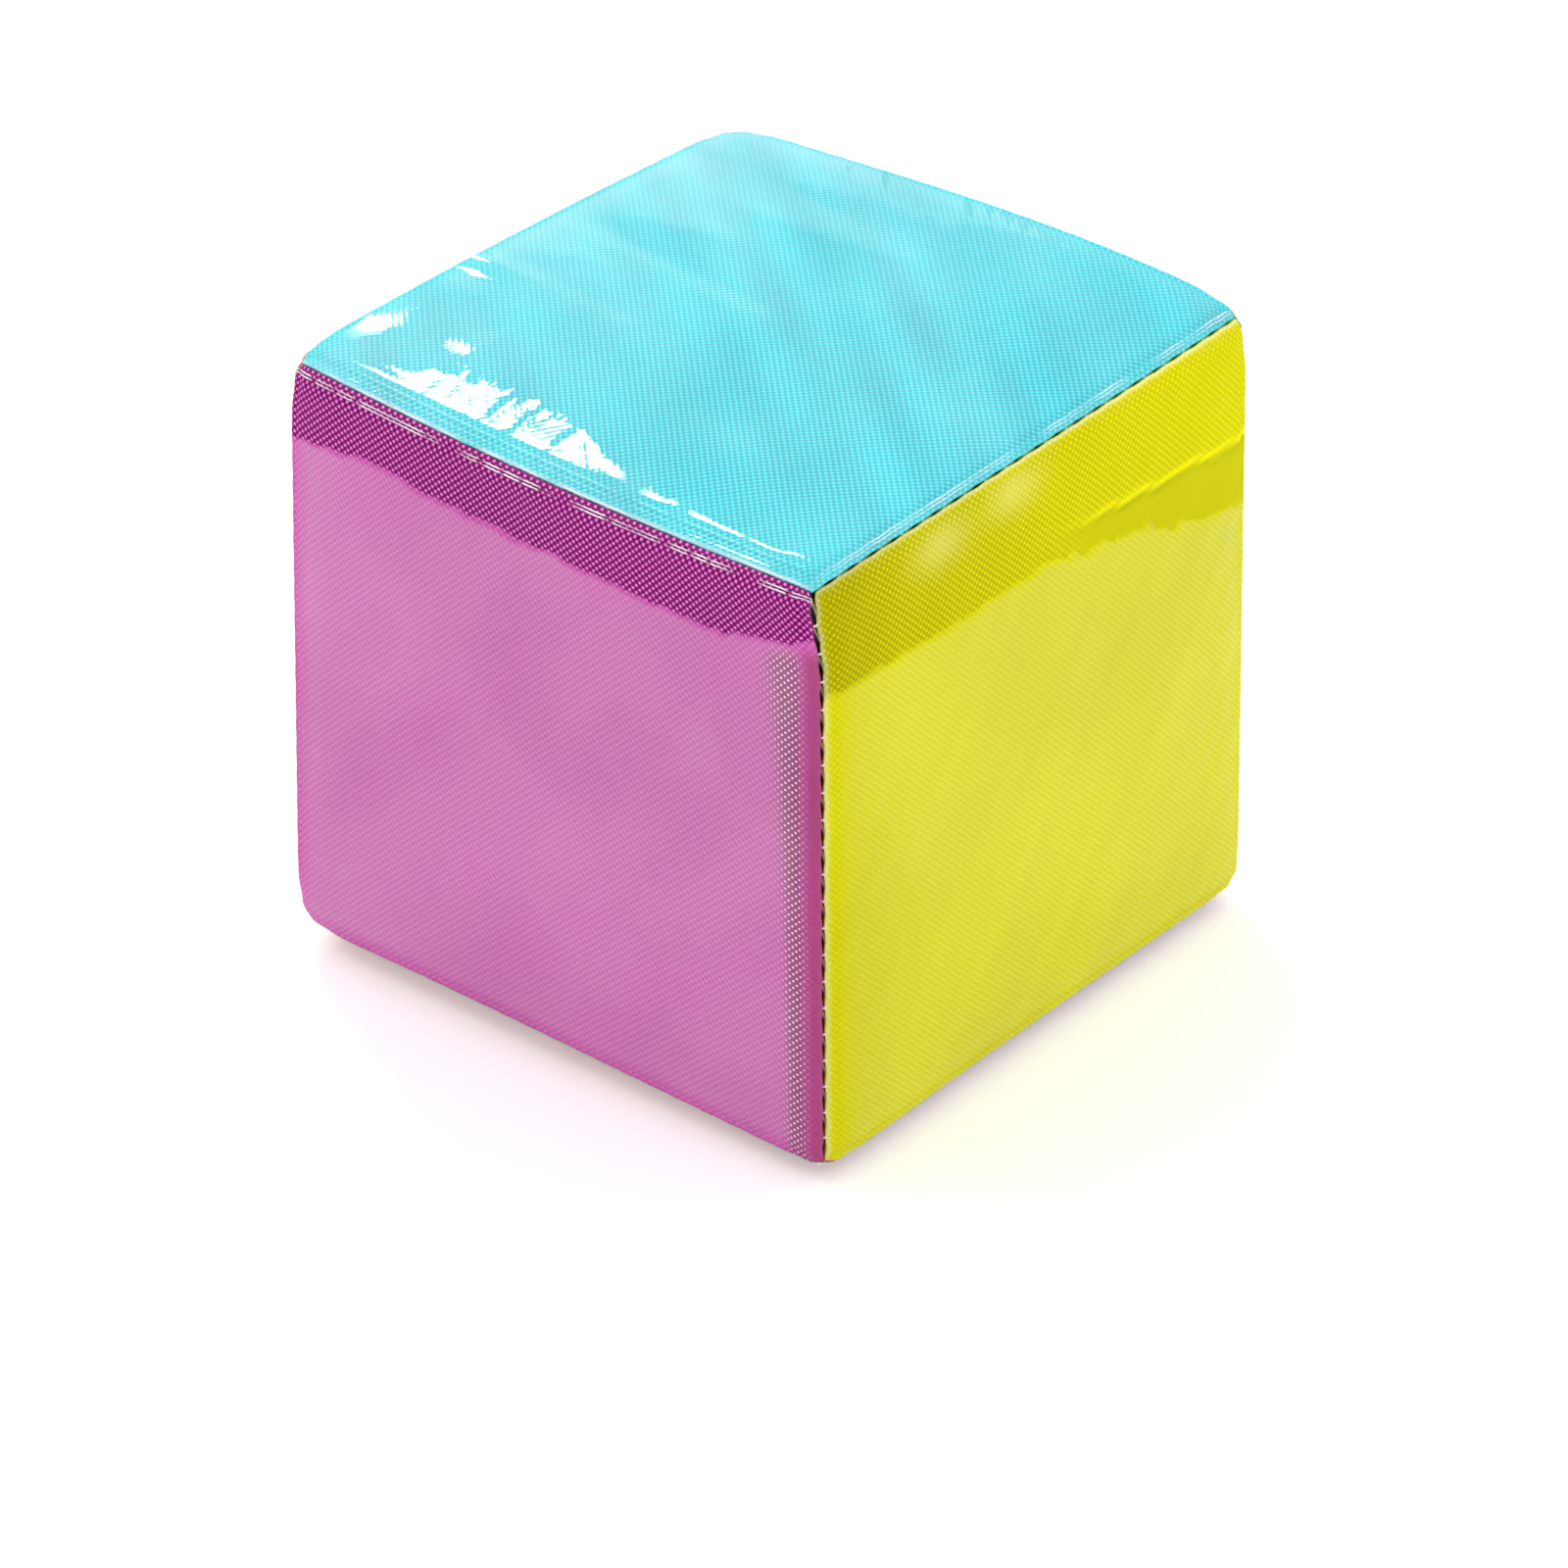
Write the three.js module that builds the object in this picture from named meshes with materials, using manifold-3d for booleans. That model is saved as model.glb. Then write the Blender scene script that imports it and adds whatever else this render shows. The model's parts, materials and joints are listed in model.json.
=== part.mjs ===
// Pocket dice: a soft foam cube in a sewn fabric cover of six colours, with a clear card pocket on each face.
// Millimetres, +Z up. The origin lies under the middle of the die, on the surface that it stands on.
import * as THREE from 'three';
import { mergeGeometries, mergeVertices } from 'three/addons/utils/BufferGeometryUtils.js';
import Module from 'manifold-3d';

// Driving dimensions of the die
const dieSize = 100; // over two opposite pocket windows
const flatHalf = 30; // half width of the flat middle of a face
const crown = 0.8; // fall from the flat middle to the rounded edge
const edgeRadius = 5; // rounding of edges and corners, over the windows

// Layers of a face, from outside to inside
const windowThickness = 0.3;
const pocketGap = 0.35; // room for a card between window and fabric
const fabricThickness = 0.6;
const foamClearance = 0.3;

// Seams
const threadDiameter = 0.4;
const threadClearance = 0.3; // each side of the thread, to the fabric
const stitchPitch = 4.5;
const stitchDepth = 1.2; // from the crest of a stitch to the bottom of its dip
const seamAllowance = 6; // fabric turned in at each seam
const slitClearance = 0.4; // foam to the turned-in fabric, each side
const mouthSetback = 1.2; // free edge of a window, from the fabric's edge

// How finely the soft forms are faceted
const rollSteps = 4; // rings over a rounded edge
const threadSides = 4;
const stepsPerStitch = 2;

// Sizes worked out from the ones above
const half = dieSize / 2;
const core = half - crown - edgeRadius; // centre of the edge rounding
const fabricDepth = windowThickness + pocketGap;
const liningDepth = fabricDepth + fabricThickness;
const foamDepth = liningDepth + foamClearance;
const seamGroove = threadDiameter + 2 * threadClearance;

// The six faces: name, outward normal, the side where the pocket opens, and the fabric's colour
const X = new THREE.Vector3(1, 0, 0);
const Y = new THREE.Vector3(0, 1, 0);
const Z = new THREE.Vector3(0, 0, 1);
const faces = [
  { name: 'top', normal: Z, mouth: X, colour: 0x4fd9ee },
  { name: 'front', normal: Y.clone().negate(), mouth: Z, colour: 0xb0208e },
  { name: 'right', normal: X, mouth: Z, colour: 0xd9d400 },
  { name: 'back', normal: Y, mouth: Z, colour: 0x2fa84f },
  { name: 'left', normal: X.clone().negate(), mouth: Z, colour: 0xf07d1c },
  { name: 'bottom', normal: Z.clone().negate(), mouth: X, colour: 0xd4282f },
];

// Angle over the rounded edge at which a layer comes within half a gap of the seam's middle plane
const seamAngle = (radius, gap) => Math.PI / 4 - Math.asin(gap / 2 / radius);

// The four corners of a face, anticlockwise, with the points that each one takes on a ring
const cornerSigns = [[1, 1], [-1, 1], [-1, -1], [1, -1]];
const cornerWalk = [[1, 0], [1, 0.5], [1, 1], [0.5, 1], [0, 1]];

function ring(place) {
  return cornerSigns.flatMap(([su, sv], corner) => {
    const walk = corner % 2 ? [...cornerWalk].reverse() : cornerWalk;
    return walk.map(([along, across]) => place(su, sv, along, across));
  });
}

// Edge of the flat middle of a face, at a depth below the window's outer surface
function flatRing(depth) {
  return ring((su, sv) => new THREE.Vector3(su * flatHalf, sv * flatHalf, half - depth));
}

// A line round the rounded edge of a face: a share of the way to the angles that its sides reach
function rollRing(depth, share, reach) {
  return ring((su, sv, along, across) => {
    const sideways = reach.side * share * along;
    const mouthwards = (sv > 0 ? reach.mouth : reach.closed) * share * across;
    const outward = new THREE.Vector3(su * Math.tan(sideways), sv * Math.tan(mouthwards), 1).normalize();
    return new THREE.Vector3(su * core, sv * core, core).addScaledVector(outward, edgeRadius - depth);
  });
}

const sameReach = (angle) => ({ side: angle, mouth: angle, closed: angle });

// Rings from the flat middle of a face out to its border
function faceRings(depth, reach, steps = rollSteps) {
  const rolls = Array.from({ length: steps }, (_, i) => rollRing(depth, (i + 1) / steps, reach));
  return [flatRing(depth), ...rolls];
}

const faceCentre = (depth) => new THREE.Vector3(0, 0, half - depth);

// Skin over a list of rings, from a first middle point to a last one where the skin closes
function loft(rings, first, last = null) {
  const points = [];
  const triangle = (a, b, c) => {
    if (!a.equals(b) && !b.equals(c) && !c.equals(a)) points.push(a, b, c);
  };
  const count = rings[0].length;
  for (let i = 0; i < count; i++) {
    const j = (i + 1) % count;
    triangle(first, rings[0][i], rings[0][j]);
    for (let k = 0; k + 1 < rings.length; k++) {
      triangle(rings[k][i], rings[k + 1][i], rings[k + 1][j]);
      triangle(rings[k][i], rings[k + 1][j], rings[k][j]);
    }
    if (last) triangle(rings.at(-1)[i], last, rings.at(-1)[j]);
  }
  return new THREE.BufferGeometry().setFromPoints(points);
}

// Fabric panel: rounded over at its border, with its seam allowances turned in along the seams' middle planes
const fabricRadius = edgeRadius - fabricDepth;
const fabricAngle = seamAngle(fabricRadius, seamGroove);
const liningAngle = seamAngle(edgeRadius - liningDepth, seamGroove + 2 * fabricThickness);
const fabricBorder = rollRing(fabricDepth, 1, sameReach(fabricAngle));
const borderHalf = core + fabricRadius * Math.sin(fabricAngle);

// The border moved inwards along the seam plane, then square to that plane by the fabric's thickness
function allowanceRing(inwards, thickness) {
  const fall = inwards / Math.SQRT2;
  const step = thickness / Math.SQRT2;
  const share = (borderHalf - fall - step) / borderHalf;
  return fabricBorder.map((p) => new THREE.Vector3(p.x * share, p.y * share, p.z - fall + step));
}

const allowanceEnd = allowanceRing(seamAllowance, 0);

function panelGeometry() {
  const outside = faceRings(fabricDepth, sameReach(fabricAngle));
  const inside = faceRings(liningDepth, sameReach(liningAngle), rollSteps - 1).reverse();
  const rings = [...outside, allowanceEnd, allowanceRing(seamAllowance, fabricThickness), ...inside];
  return loft(rings, faceCentre(fabricDepth), faceCentre(liningDepth));
}

// Clear window: sewn in on three sides, with a free edge short of the fourth
function windowGeometry() {
  const reach = (depth) => {
    const radius = edgeRadius - depth;
    const sewn = seamAngle(radius, seamGroove);
    return { side: sewn, closed: sewn, mouth: sewn - mouthSetback / radius };
  };
  const outside = faceRings(0, reach(0));
  const inside = faceRings(windowThickness, reach(windowThickness)).reverse();
  return loft([...outside, ...inside], faceCentre(0), faceCentre(windowThickness));
}

// A turn that takes a face's own axes (sideways, towards the mouth, outwards) to the die's
function faceTurn({ normal, mouth }) {
  const sideways = new THREE.Vector3().crossVectors(mouth, normal);
  return new THREE.Matrix4().makeBasis(sideways, mouth, normal);
}

// The twelve edges: each pair of faces that meet, with axes along the seam, across it and outwards
const edges = faces.flatMap((a, i) =>
  faces.slice(i + 1).filter((b) => a.normal.dot(b.normal) === 0).map((b) => {
    const along = new THREE.Vector3().crossVectors(a.normal, b.normal);
    const across = new THREE.Vector3().subVectors(a.normal, b.normal).normalize();
    const outwards = new THREE.Vector3().addVectors(a.normal, b.normal).normalize();
    return { name: `${a.name}_${b.name}`, turn: new THREE.Matrix4().makeBasis(along, across, outwards) };
  }),
);

// Distance of the fabric's edges, and of the ends of the seam allowances, from the die's axis along an edge
const seamReach = core * Math.SQRT2 + fabricRadius;
const allowanceFloor = Math.min(
  ...allowanceEnd.map((p) => (Math.max(Math.abs(p.x), Math.abs(p.y)) + p.z) / Math.SQRT2),
);

// Thread of one seam: an unbroken wave along the groove, up to the fabric's edges and down between them
class StitchedLine extends THREE.Curve {
  getPoint(t) {
    const stitches = Math.round((2 * core) / stitchPitch);
    const dip = (1 - Math.cos(2 * Math.PI * stitches * t)) / 2;
    return new THREE.Vector3((2 * t - 1) * core, 0, seamReach - stitchDepth * dip);
  }
}

function threadGeometry() {
  const corners = Array.from({ length: threadSides }, (_, i) => {
    const angle = (2 * Math.PI * i) / threadSides;
    return new THREE.Vector2(Math.cos(angle), Math.sin(angle)).multiplyScalar(threadDiameter / 2);
  });
  const steps = Math.round((2 * core) / stitchPitch) * stepsPerStitch;
  return new THREE.ExtrudeGeometry(new THREE.Shape(corners), { extrudePath: new StitchedLine(), steps });
}

// Foam core: the rounded cube inside the cover, slit along its edges for the seam allowances
const wasm = await Module();
wasm.setup();

function toSolid(geometry) {
  const bare = geometry.clone();
  bare.deleteAttribute('normal');
  bare.deleteAttribute('uv');
  const merged = mergeVertices(bare, 1e-4);
  const vertProperties = merged.attributes.position.array;
  const triVerts = Uint32Array.from(merged.index.array);
  return new wasm.Manifold(new wasm.Mesh({ numProp: 3, vertProperties, triVerts }));
}

function toGeometry(solid) {
  const mesh = solid.getMesh();
  const geometry = new THREE.BufferGeometry();
  geometry.setAttribute('position', new THREE.BufferAttribute(mesh.vertProperties, 3));
  geometry.setIndex(new THREE.BufferAttribute(mesh.triVerts, 1));
  return geometry;
}

function foamGeometry() {
  const patch = loft(faceRings(foamDepth, sameReach(Math.PI / 4), rollSteps - 2), faceCentre(foamDepth));
  const block = mergeGeometries(faces.map((face) => patch.clone().applyMatrix4(faceTurn(face))));
  const slitWidth = seamGroove + 2 * fabricThickness + 2 * slitClearance;
  const slitFloor = allowanceFloor - slitClearance;
  const slitDepth = seamReach - slitFloor;
  const slit = new THREE.BoxGeometry(dieSize, slitWidth, slitDepth);
  slit.translate(0, 0, slitFloor + slitDepth / 2);
  const slits = edges.map(({ turn }) => toSolid(slit.clone().applyMatrix4(turn)));
  return toGeometry(slits.reduce((solid, cut) => solid.subtract(cut), toSolid(block)));
}

// Assembly: the die's middle is half its size above the surface that it stands on
const die = new THREE.Group();
die.position.z = half;

function add(parent, name, geometry, colour, roughness, extra = {}) {
  const material = new THREE.MeshStandardMaterial({ color: colour, roughness, metalness: 0, ...extra });
  const mesh = new THREE.Mesh(geometry, material);
  mesh.name = name;
  parent.add(mesh);
}

add(die, 'foam_core', foamGeometry(), 0xf3efe2, 0.95);

const panel = panelGeometry();
const film = windowGeometry();
for (const face of faces) {
  const side = new THREE.Group();
  side.setRotationFromMatrix(faceTurn(face));
  die.add(side);
  add(side, `fabric_panel_${face.name}`, panel, face.colour, 0.7);
  add(side, `pocket_window_${face.name}`, film, 0xffffff, 0.08, { transparent: true, opacity: 0.2 });
}

const thread = threadGeometry();
for (const edge of edges) {
  const seam = new THREE.Group();
  seam.setRotationFromMatrix(edge.turn);
  die.add(seam);
  add(seam, `seam_thread_${edge.name}`, thread, 0xf1e9dc, 0.6);
}

const pocketDice = new THREE.Group();
pocketDice.add(die);

export default pocketDice;
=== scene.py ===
"""Dresses a pocket dice: a foam cube in a sewn cover of six colours, with a clear pocket on each face."""

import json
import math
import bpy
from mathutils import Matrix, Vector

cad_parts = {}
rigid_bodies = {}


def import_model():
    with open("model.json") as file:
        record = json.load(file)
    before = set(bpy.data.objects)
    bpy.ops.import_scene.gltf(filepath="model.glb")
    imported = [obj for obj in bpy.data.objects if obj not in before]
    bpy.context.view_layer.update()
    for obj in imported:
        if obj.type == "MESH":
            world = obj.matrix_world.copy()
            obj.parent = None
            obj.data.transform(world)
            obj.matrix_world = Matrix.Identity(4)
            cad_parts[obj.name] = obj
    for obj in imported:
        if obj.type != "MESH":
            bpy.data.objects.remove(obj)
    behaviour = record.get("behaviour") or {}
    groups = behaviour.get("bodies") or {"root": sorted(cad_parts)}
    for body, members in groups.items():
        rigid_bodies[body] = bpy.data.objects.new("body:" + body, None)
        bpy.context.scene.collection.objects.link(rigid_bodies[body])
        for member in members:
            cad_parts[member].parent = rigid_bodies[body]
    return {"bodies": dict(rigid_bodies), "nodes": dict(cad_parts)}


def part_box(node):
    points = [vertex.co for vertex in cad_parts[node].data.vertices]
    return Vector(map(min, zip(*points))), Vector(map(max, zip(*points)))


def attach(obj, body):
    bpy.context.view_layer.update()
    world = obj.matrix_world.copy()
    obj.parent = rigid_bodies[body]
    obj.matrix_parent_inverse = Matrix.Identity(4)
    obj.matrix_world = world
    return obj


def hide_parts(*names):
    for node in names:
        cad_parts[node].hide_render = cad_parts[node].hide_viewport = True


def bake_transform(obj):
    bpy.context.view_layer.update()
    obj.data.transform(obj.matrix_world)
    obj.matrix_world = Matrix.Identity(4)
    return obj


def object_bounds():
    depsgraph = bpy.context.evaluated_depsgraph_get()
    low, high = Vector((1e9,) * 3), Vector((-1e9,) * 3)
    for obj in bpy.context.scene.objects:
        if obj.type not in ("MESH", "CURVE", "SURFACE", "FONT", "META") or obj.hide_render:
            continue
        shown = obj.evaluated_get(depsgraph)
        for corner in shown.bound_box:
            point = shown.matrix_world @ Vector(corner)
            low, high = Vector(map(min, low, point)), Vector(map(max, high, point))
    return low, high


bl_info = {
    "name": "Pocket Dice",
    "version": (1, 0, 0),
    "blender": (4, 5, 0),
    "location": "3D View > Sidebar > Pocket Dice",
    "description": "Builds a soft die with clear card pockets around its packed frame",
    "category": "Object",
}

from typing import NamedTuple

import bpy
import numpy as np
from mathutils import Matrix, Vector

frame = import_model()
CAD_LOW, CAD_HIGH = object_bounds()

MM = 0.001
CLOTH_UV = "cloth"
CLING = "cling"
VEIL = "veil"
TIGHT_GLINTS = "tight"
DOTS = "dots"
FOLD_HIGHLIGHT = "rim"
SHADE = "shade"
PAINTED_HIGHLIGHT = "sheen"
SHINE = "shine"
HEM_HIGHLIGHT = "hem"
BESIDE = "beside"
PRESSED_SHADE = "pressed"
CRISP = "crisp"
LIFT_SHARE = "lift_share"

# Sizes that the frame gives
DIE_SIZE = CAD_HIGH.z - CAD_LOW.z
FABRIC_DEPTH = CAD_HIGH.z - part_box("fabric_panel_top")[1].z


class Face(NamedTuple):
    """One face of the die: the way it looks, the side where its pocket opens, and how its film lies."""

    name: str
    normal: tuple
    mouth: tuple
    cling: tuple  # how far the film clings below the mouth, at even steps from left to right
    veil: tuple  # white haze in the loose film: its share, how much it varies, and what the closed side adds
    banded: float  # how much the cloth's tone varies in narrow bands under the film
    puff: float  # how far the film's middle stands off
    shine: float  # how strongly the loose film mirrors the room
    hem: tuple  # how strong the painted highlight on the film's free edge is, and how much of it is lost between its dashes
    drawn: float  # how far the film's free edge is drawn over towards the seam
    tight: tuple  # strength of the painted glints on the weave at the left and the right side, where the film is drawn tight
    seed: int

    @property
    def axes(self):
        normal = Vector(self.normal)
        mouth = Vector(self.mouth)
        return mouth.cross(normal), mouth, normal

    def side(self, axis, sign):
        """Name of the face that meets this one on the side where an axis points."""
        way = self.axes[axis] * sign
        return next(other.name for other in FACES if Vector(other.normal).dot(way) > 0.5)


FACES = (
    Face(
        name="top", normal=(0, 0, 1), mouth=(1, 0, 0), cling=(-9 * MM,),
        veil=(0.06, 0.25, 0.05), banded=0.06, puff=0.9 * MM, shine=1.0, hem=(0.7, 0.3),
        drawn=0.5 * MM, tight=(0, 0), seed=11,
    ),
    Face(
        name="front", normal=(0, -1, 0), mouth=(0, 0, 1),
        cling=(13 * MM, 10 * MM, 10.6 * MM, 11 * MM, 11.6 * MM, 12.2 * MM, 8.5 * MM),
        veil=(0.07, 0.15, 0), banded=0.01, puff=0.2 * MM, shine=1.0, hem=(1, 0.95),
        drawn=0.25 * MM, tight=(0, 1), seed=12,
    ),
    Face(
        name="right", normal=(1, 0, 0), mouth=(0, 0, 1),
        cling=(16.9 * MM, 17.5 * MM, 18.2 * MM, 18.3 * MM, 21.9 * MM, 26.5 * MM, 30.8 * MM),
        veil=(0, 0, 0), banded=0.01, puff=0.2 * MM, shine=0.7, hem=(0.03, 0),
        drawn=0, tight=(0, 0), seed=13,
    ),
    Face(
        name="back", normal=(0, 1, 0), mouth=(0, 0, 1), cling=(17 * MM, 14 * MM, 16 * MM),
        veil=(0.05, 0.3, 0), banded=0.03, puff=0.3 * MM, shine=1.0, hem=(1, 0.9),
        drawn=0, tight=(0.8, 0), seed=14,
    ),
    Face(
        name="left", normal=(-1, 0, 0), mouth=(0, 0, 1), cling=(14 * MM, 18 * MM, 21 * MM),
        veil=(0.05, 0.3, 0), banded=0.03, puff=0.3 * MM, shine=1.0, hem=(1, 0.9),
        drawn=0, tight=(0, 0.8), seed=15,
    ),
    Face(
        name="bottom", normal=(0, 0, -1), mouth=(1, 0, 0), cling=(12 * MM, 14 * MM, 13 * MM),
        veil=(0.05, 0.3, 0), banded=0.03, puff=0, shine=1.0, hem=(1, 0.9),
        drawn=0, tight=(0, 0), seed=16,
    ),
)


class Swatch(NamedTuple):
    """A cover fabric: its slot and colour, and how its yarns differ in tone, which is painted shade between
    the yarns and painted highlight on their crests.
    """

    slot: str
    colour: tuple
    low: tuple  # the lower yarns where the film clings, darkened with painted shade
    high: tuple  # the upper yarns where the film clings, lightened with painted highlights and glints on their crests
    calm: tuple  # both together, where the film clings so close that single yarns don't show
    contrast: tuple  # shares of the colour on lower and upper yarns elsewhere, as painted shade and painted highlight
    rim: float  # how strong the painted highlight on the folded edge's crest is


SWATCHES = {
    "top": Swatch(
        slot="cyan_fabric", colour=(0.06, 0.74, 0.85), low=(0.02, 0.56, 0.70), high=(0.25, 0.92, 0.98),
        calm=(0.09, 0.67, 0.78), contrast=(0.69, 1.24), rim=0.4,
    ),
    "front": Swatch(
        slot="magenta_fabric", colour=(0.70, 0.13, 0.48), low=(0.21, 0.002, 0.12), high=(0.98, 0.27, 0.78),
        calm=(0.44, 0.06, 0.21), contrast=(0.77, 1.18), rim=0.05,
    ),
    "right": Swatch(
        slot="yellow_fabric", colour=(0.84, 0.79, 0.006), low=(0.60, 0.53, 0.0), high=(0.98, 0.95, 0.004),
        calm=(0.71, 0.66, 0.001), contrast=(0.90, 1.07), rim=0.7,
    ),
    "back": Swatch(
        slot="green_fabric", colour=(0.07, 0.46, 0.11), low=(0.01, 0.20, 0.03), high=(0.25, 0.75, 0.30),
        calm=(0.08, 0.36, 0.11), contrast=(0.80, 1.15), rim=0.4,
    ),
    "left": Swatch(
        slot="orange_fabric", colour=(0.90, 0.26, 0.02), low=(0.50, 0.08, 0.002), high=(1.0, 0.48, 0.12),
        calm=(0.65, 0.20, 0.04), contrast=(0.80, 1.15), rim=0.4,
    ),
    "bottom": Swatch(
        slot="red_fabric", colour=(0.68, 0.03, 0.04), low=(0.34, 0.004, 0.008), high=(0.90, 0.18, 0.18),
        calm=(0.51, 0.06, 0.06), contrast=(0.80, 1.15), rim=0.4,
    ),
}
# Gaps of a seam: at a stitch, and between two stitches
SEAM_GAP = (0.15 * MM, 0.25 * MM)
SEAM_GAPS = {
    ("front", "right"): (0.18 * MM, 0.56 * MM),
    ("top", "right"): (0.1 * MM, 0.35 * MM),
    ("top", "front"): (0.06 * MM, 0.12 * MM),
}
NEAR_SEAM = {"front", "right"}
SCREEN_RIGHT = (0.76, 0.65)  # the way along the ground that runs level across the camera's view


# Settings

def length(name, description, default):
    """A length that a user may change."""
    return bpy.props.FloatProperty(
        name=name, description=description, default=default, min=0, precision=5,
        subtype="DISTANCE", unit="LENGTH",
    )


def colour(name, default):
    """A colour that a user may change."""
    return bpy.props.FloatVectorProperty(
        name=name, description=f"Colour of the {name.lower()}", default=default,
        min=0, max=1, subtype="COLOR",
    )


class DieSizes(bpy.types.PropertyGroup):
    """Sizes of the die and of its layers and seams."""

    die_size: length("Die size", "Over two opposite pocket windows", DIE_SIZE)
    edge_radius: length("Edge radius", "Rounding of edges and corners, over the windows", 5 * MM)
    crown: length("Crown", "Fall from the middle of a face to its rounded edge", 0.8 * MM)
    fabric_depth: length("Fabric depth", "From a window's outside to the fabric", FABRIC_DEPTH)
    film_thickness: length("Film thickness", "Thickness of a pocket window", 0.3 * MM)
    fabric_thickness: length("Fabric thickness", "Thickness of a cover panel", 0.6 * MM)
    seam_allowance: length("Seam allowance", "Fabric turned in at each seam", 6 * MM)
    mouth_setback: length("Mouth setback", "Free edge of a window, from the fabric's edge", 1.2 * MM)
    pucker: length("Pucker", "How far a stitch draws the fabric in", 0.08 * MM)
    foot_spread: length("Foot spread", "How far the soft block spreads at its foot, each side", 1.2 * MM)
    foot_step: length("Foot step", "How far the left front corner of the foot stands out", 2.5 * MM)
    foot_lift: length("Foot lift", "How far that corner stands off the ground", 0.8 * MM)
    corner_drop: length("Corner drop", "How far the near top corner is pressed down", 3.5 * MM)
    seam_sag: length("Seam sag", "How far the top front seam hangs below its ends", 2.2 * MM)
    seam_bow: length("Seam bow", "How far the top back seam rises above its ends", 2.8 * MM)
    seam_lean: length("Seam lean", "How far the near upright seam leans right below its top", 1.05 * MM)
    seam_flare: length("Seam flare", "How much wider that seam gapes at its top", 0.5 * MM)
    foot_bow: length("Foot bow", "How far the bottom front seam rises above its ends", 1.4 * MM)
    corner_round: length("Corner rounding", "How far the soft top corners are drawn in", 0.85 * MM)
    fold_height: length("Fold height", "How far the folded edge of a panel stands up", 0.22 * MM)
    thread_diameter: length("Thread diameter", "Diameter of the seam thread", 0.32 * MM)
    thread_pitch: length("Weave pitch", "From one yarn of the fabric to the next", 0.575 * MM)
    stitches: bpy.props.IntProperty(
        name="Stitches", description="Stitches along one edge", default=20, min=4,
    )


class DieColours(bpy.types.PropertyGroup):
    """Colours of the cover, the thread and the foam."""

    top: colour("Top fabric", SWATCHES["top"].colour)
    front: colour("Front fabric", SWATCHES["front"].colour)
    right: colour("Right fabric", SWATCHES["right"].colour)
    back: colour("Back fabric", SWATCHES["back"].colour)
    left: colour("Left fabric", SWATCHES["left"].colour)
    bottom: colour("Bottom fabric", SWATCHES["bottom"].colour)
    film_edge: colour("Film edge", (0.90, 0.93, 0.95))
    thread: colour("Thread", (0.86, 0.80, 0.62))
    foam: colour("Foam", (0.88, 0.83, 0.68))


class StudioSettings(bpy.types.PropertyGroup):
    """Where the camera stands, and how bright the studio is."""

    azimuth: bpy.props.FloatProperty(
        name="Azimuth", description="Camera's turn round the die, from its front",
        default=math.radians(40.34), subtype="ANGLE", unit="ROTATION",
    )
    elevation: bpy.props.FloatProperty(
        name="Elevation", description="Camera's height over the horizon",
        default=math.radians(31.41), subtype="ANGLE", unit="ROTATION",
    )
    roll: bpy.props.FloatProperty(
        name="Roll", description="Camera's turn about its own view",
        default=math.radians(-0.46), subtype="ANGLE", unit="ROTATION",
    )
    distance: length("Distance", "From the camera to the die's middle", 938.8 * MM)
    lens: bpy.props.FloatProperty(
        name="Lens", description="Focal length in millimetres", default=150, min=1,
    )
    sideways: length("Sideways", "Camera's step to its right", 1.5 * MM)
    drop: length("Drop", "Camera's step down, which lifts the die in the frame", 22.5 * MM)
    room_light: bpy.props.FloatProperty(
        name="Room light", description="Light from all round", default=1.0, min=0,
    )


# The form that every layer follows

FLARE_REACH = 7 * MM  # how far down the near upright seam gapes wider
GAP_REACH = 2.5 * MM  # how far from a seam its gap draws the layers back
PUCKER_REACH = 1.3 * MM  # how far from a seam its stitches draw the layers in
FRONT_BOW_REACH = 15 * MM  # how far from the front seams their bows are felt
BACK_BOW_REACH = 22 * MM  # how far from the top's back and left seams their bows are felt
LEAN_REACH = 30 * MM  # how far from the near upright seam its lean is felt


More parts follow.
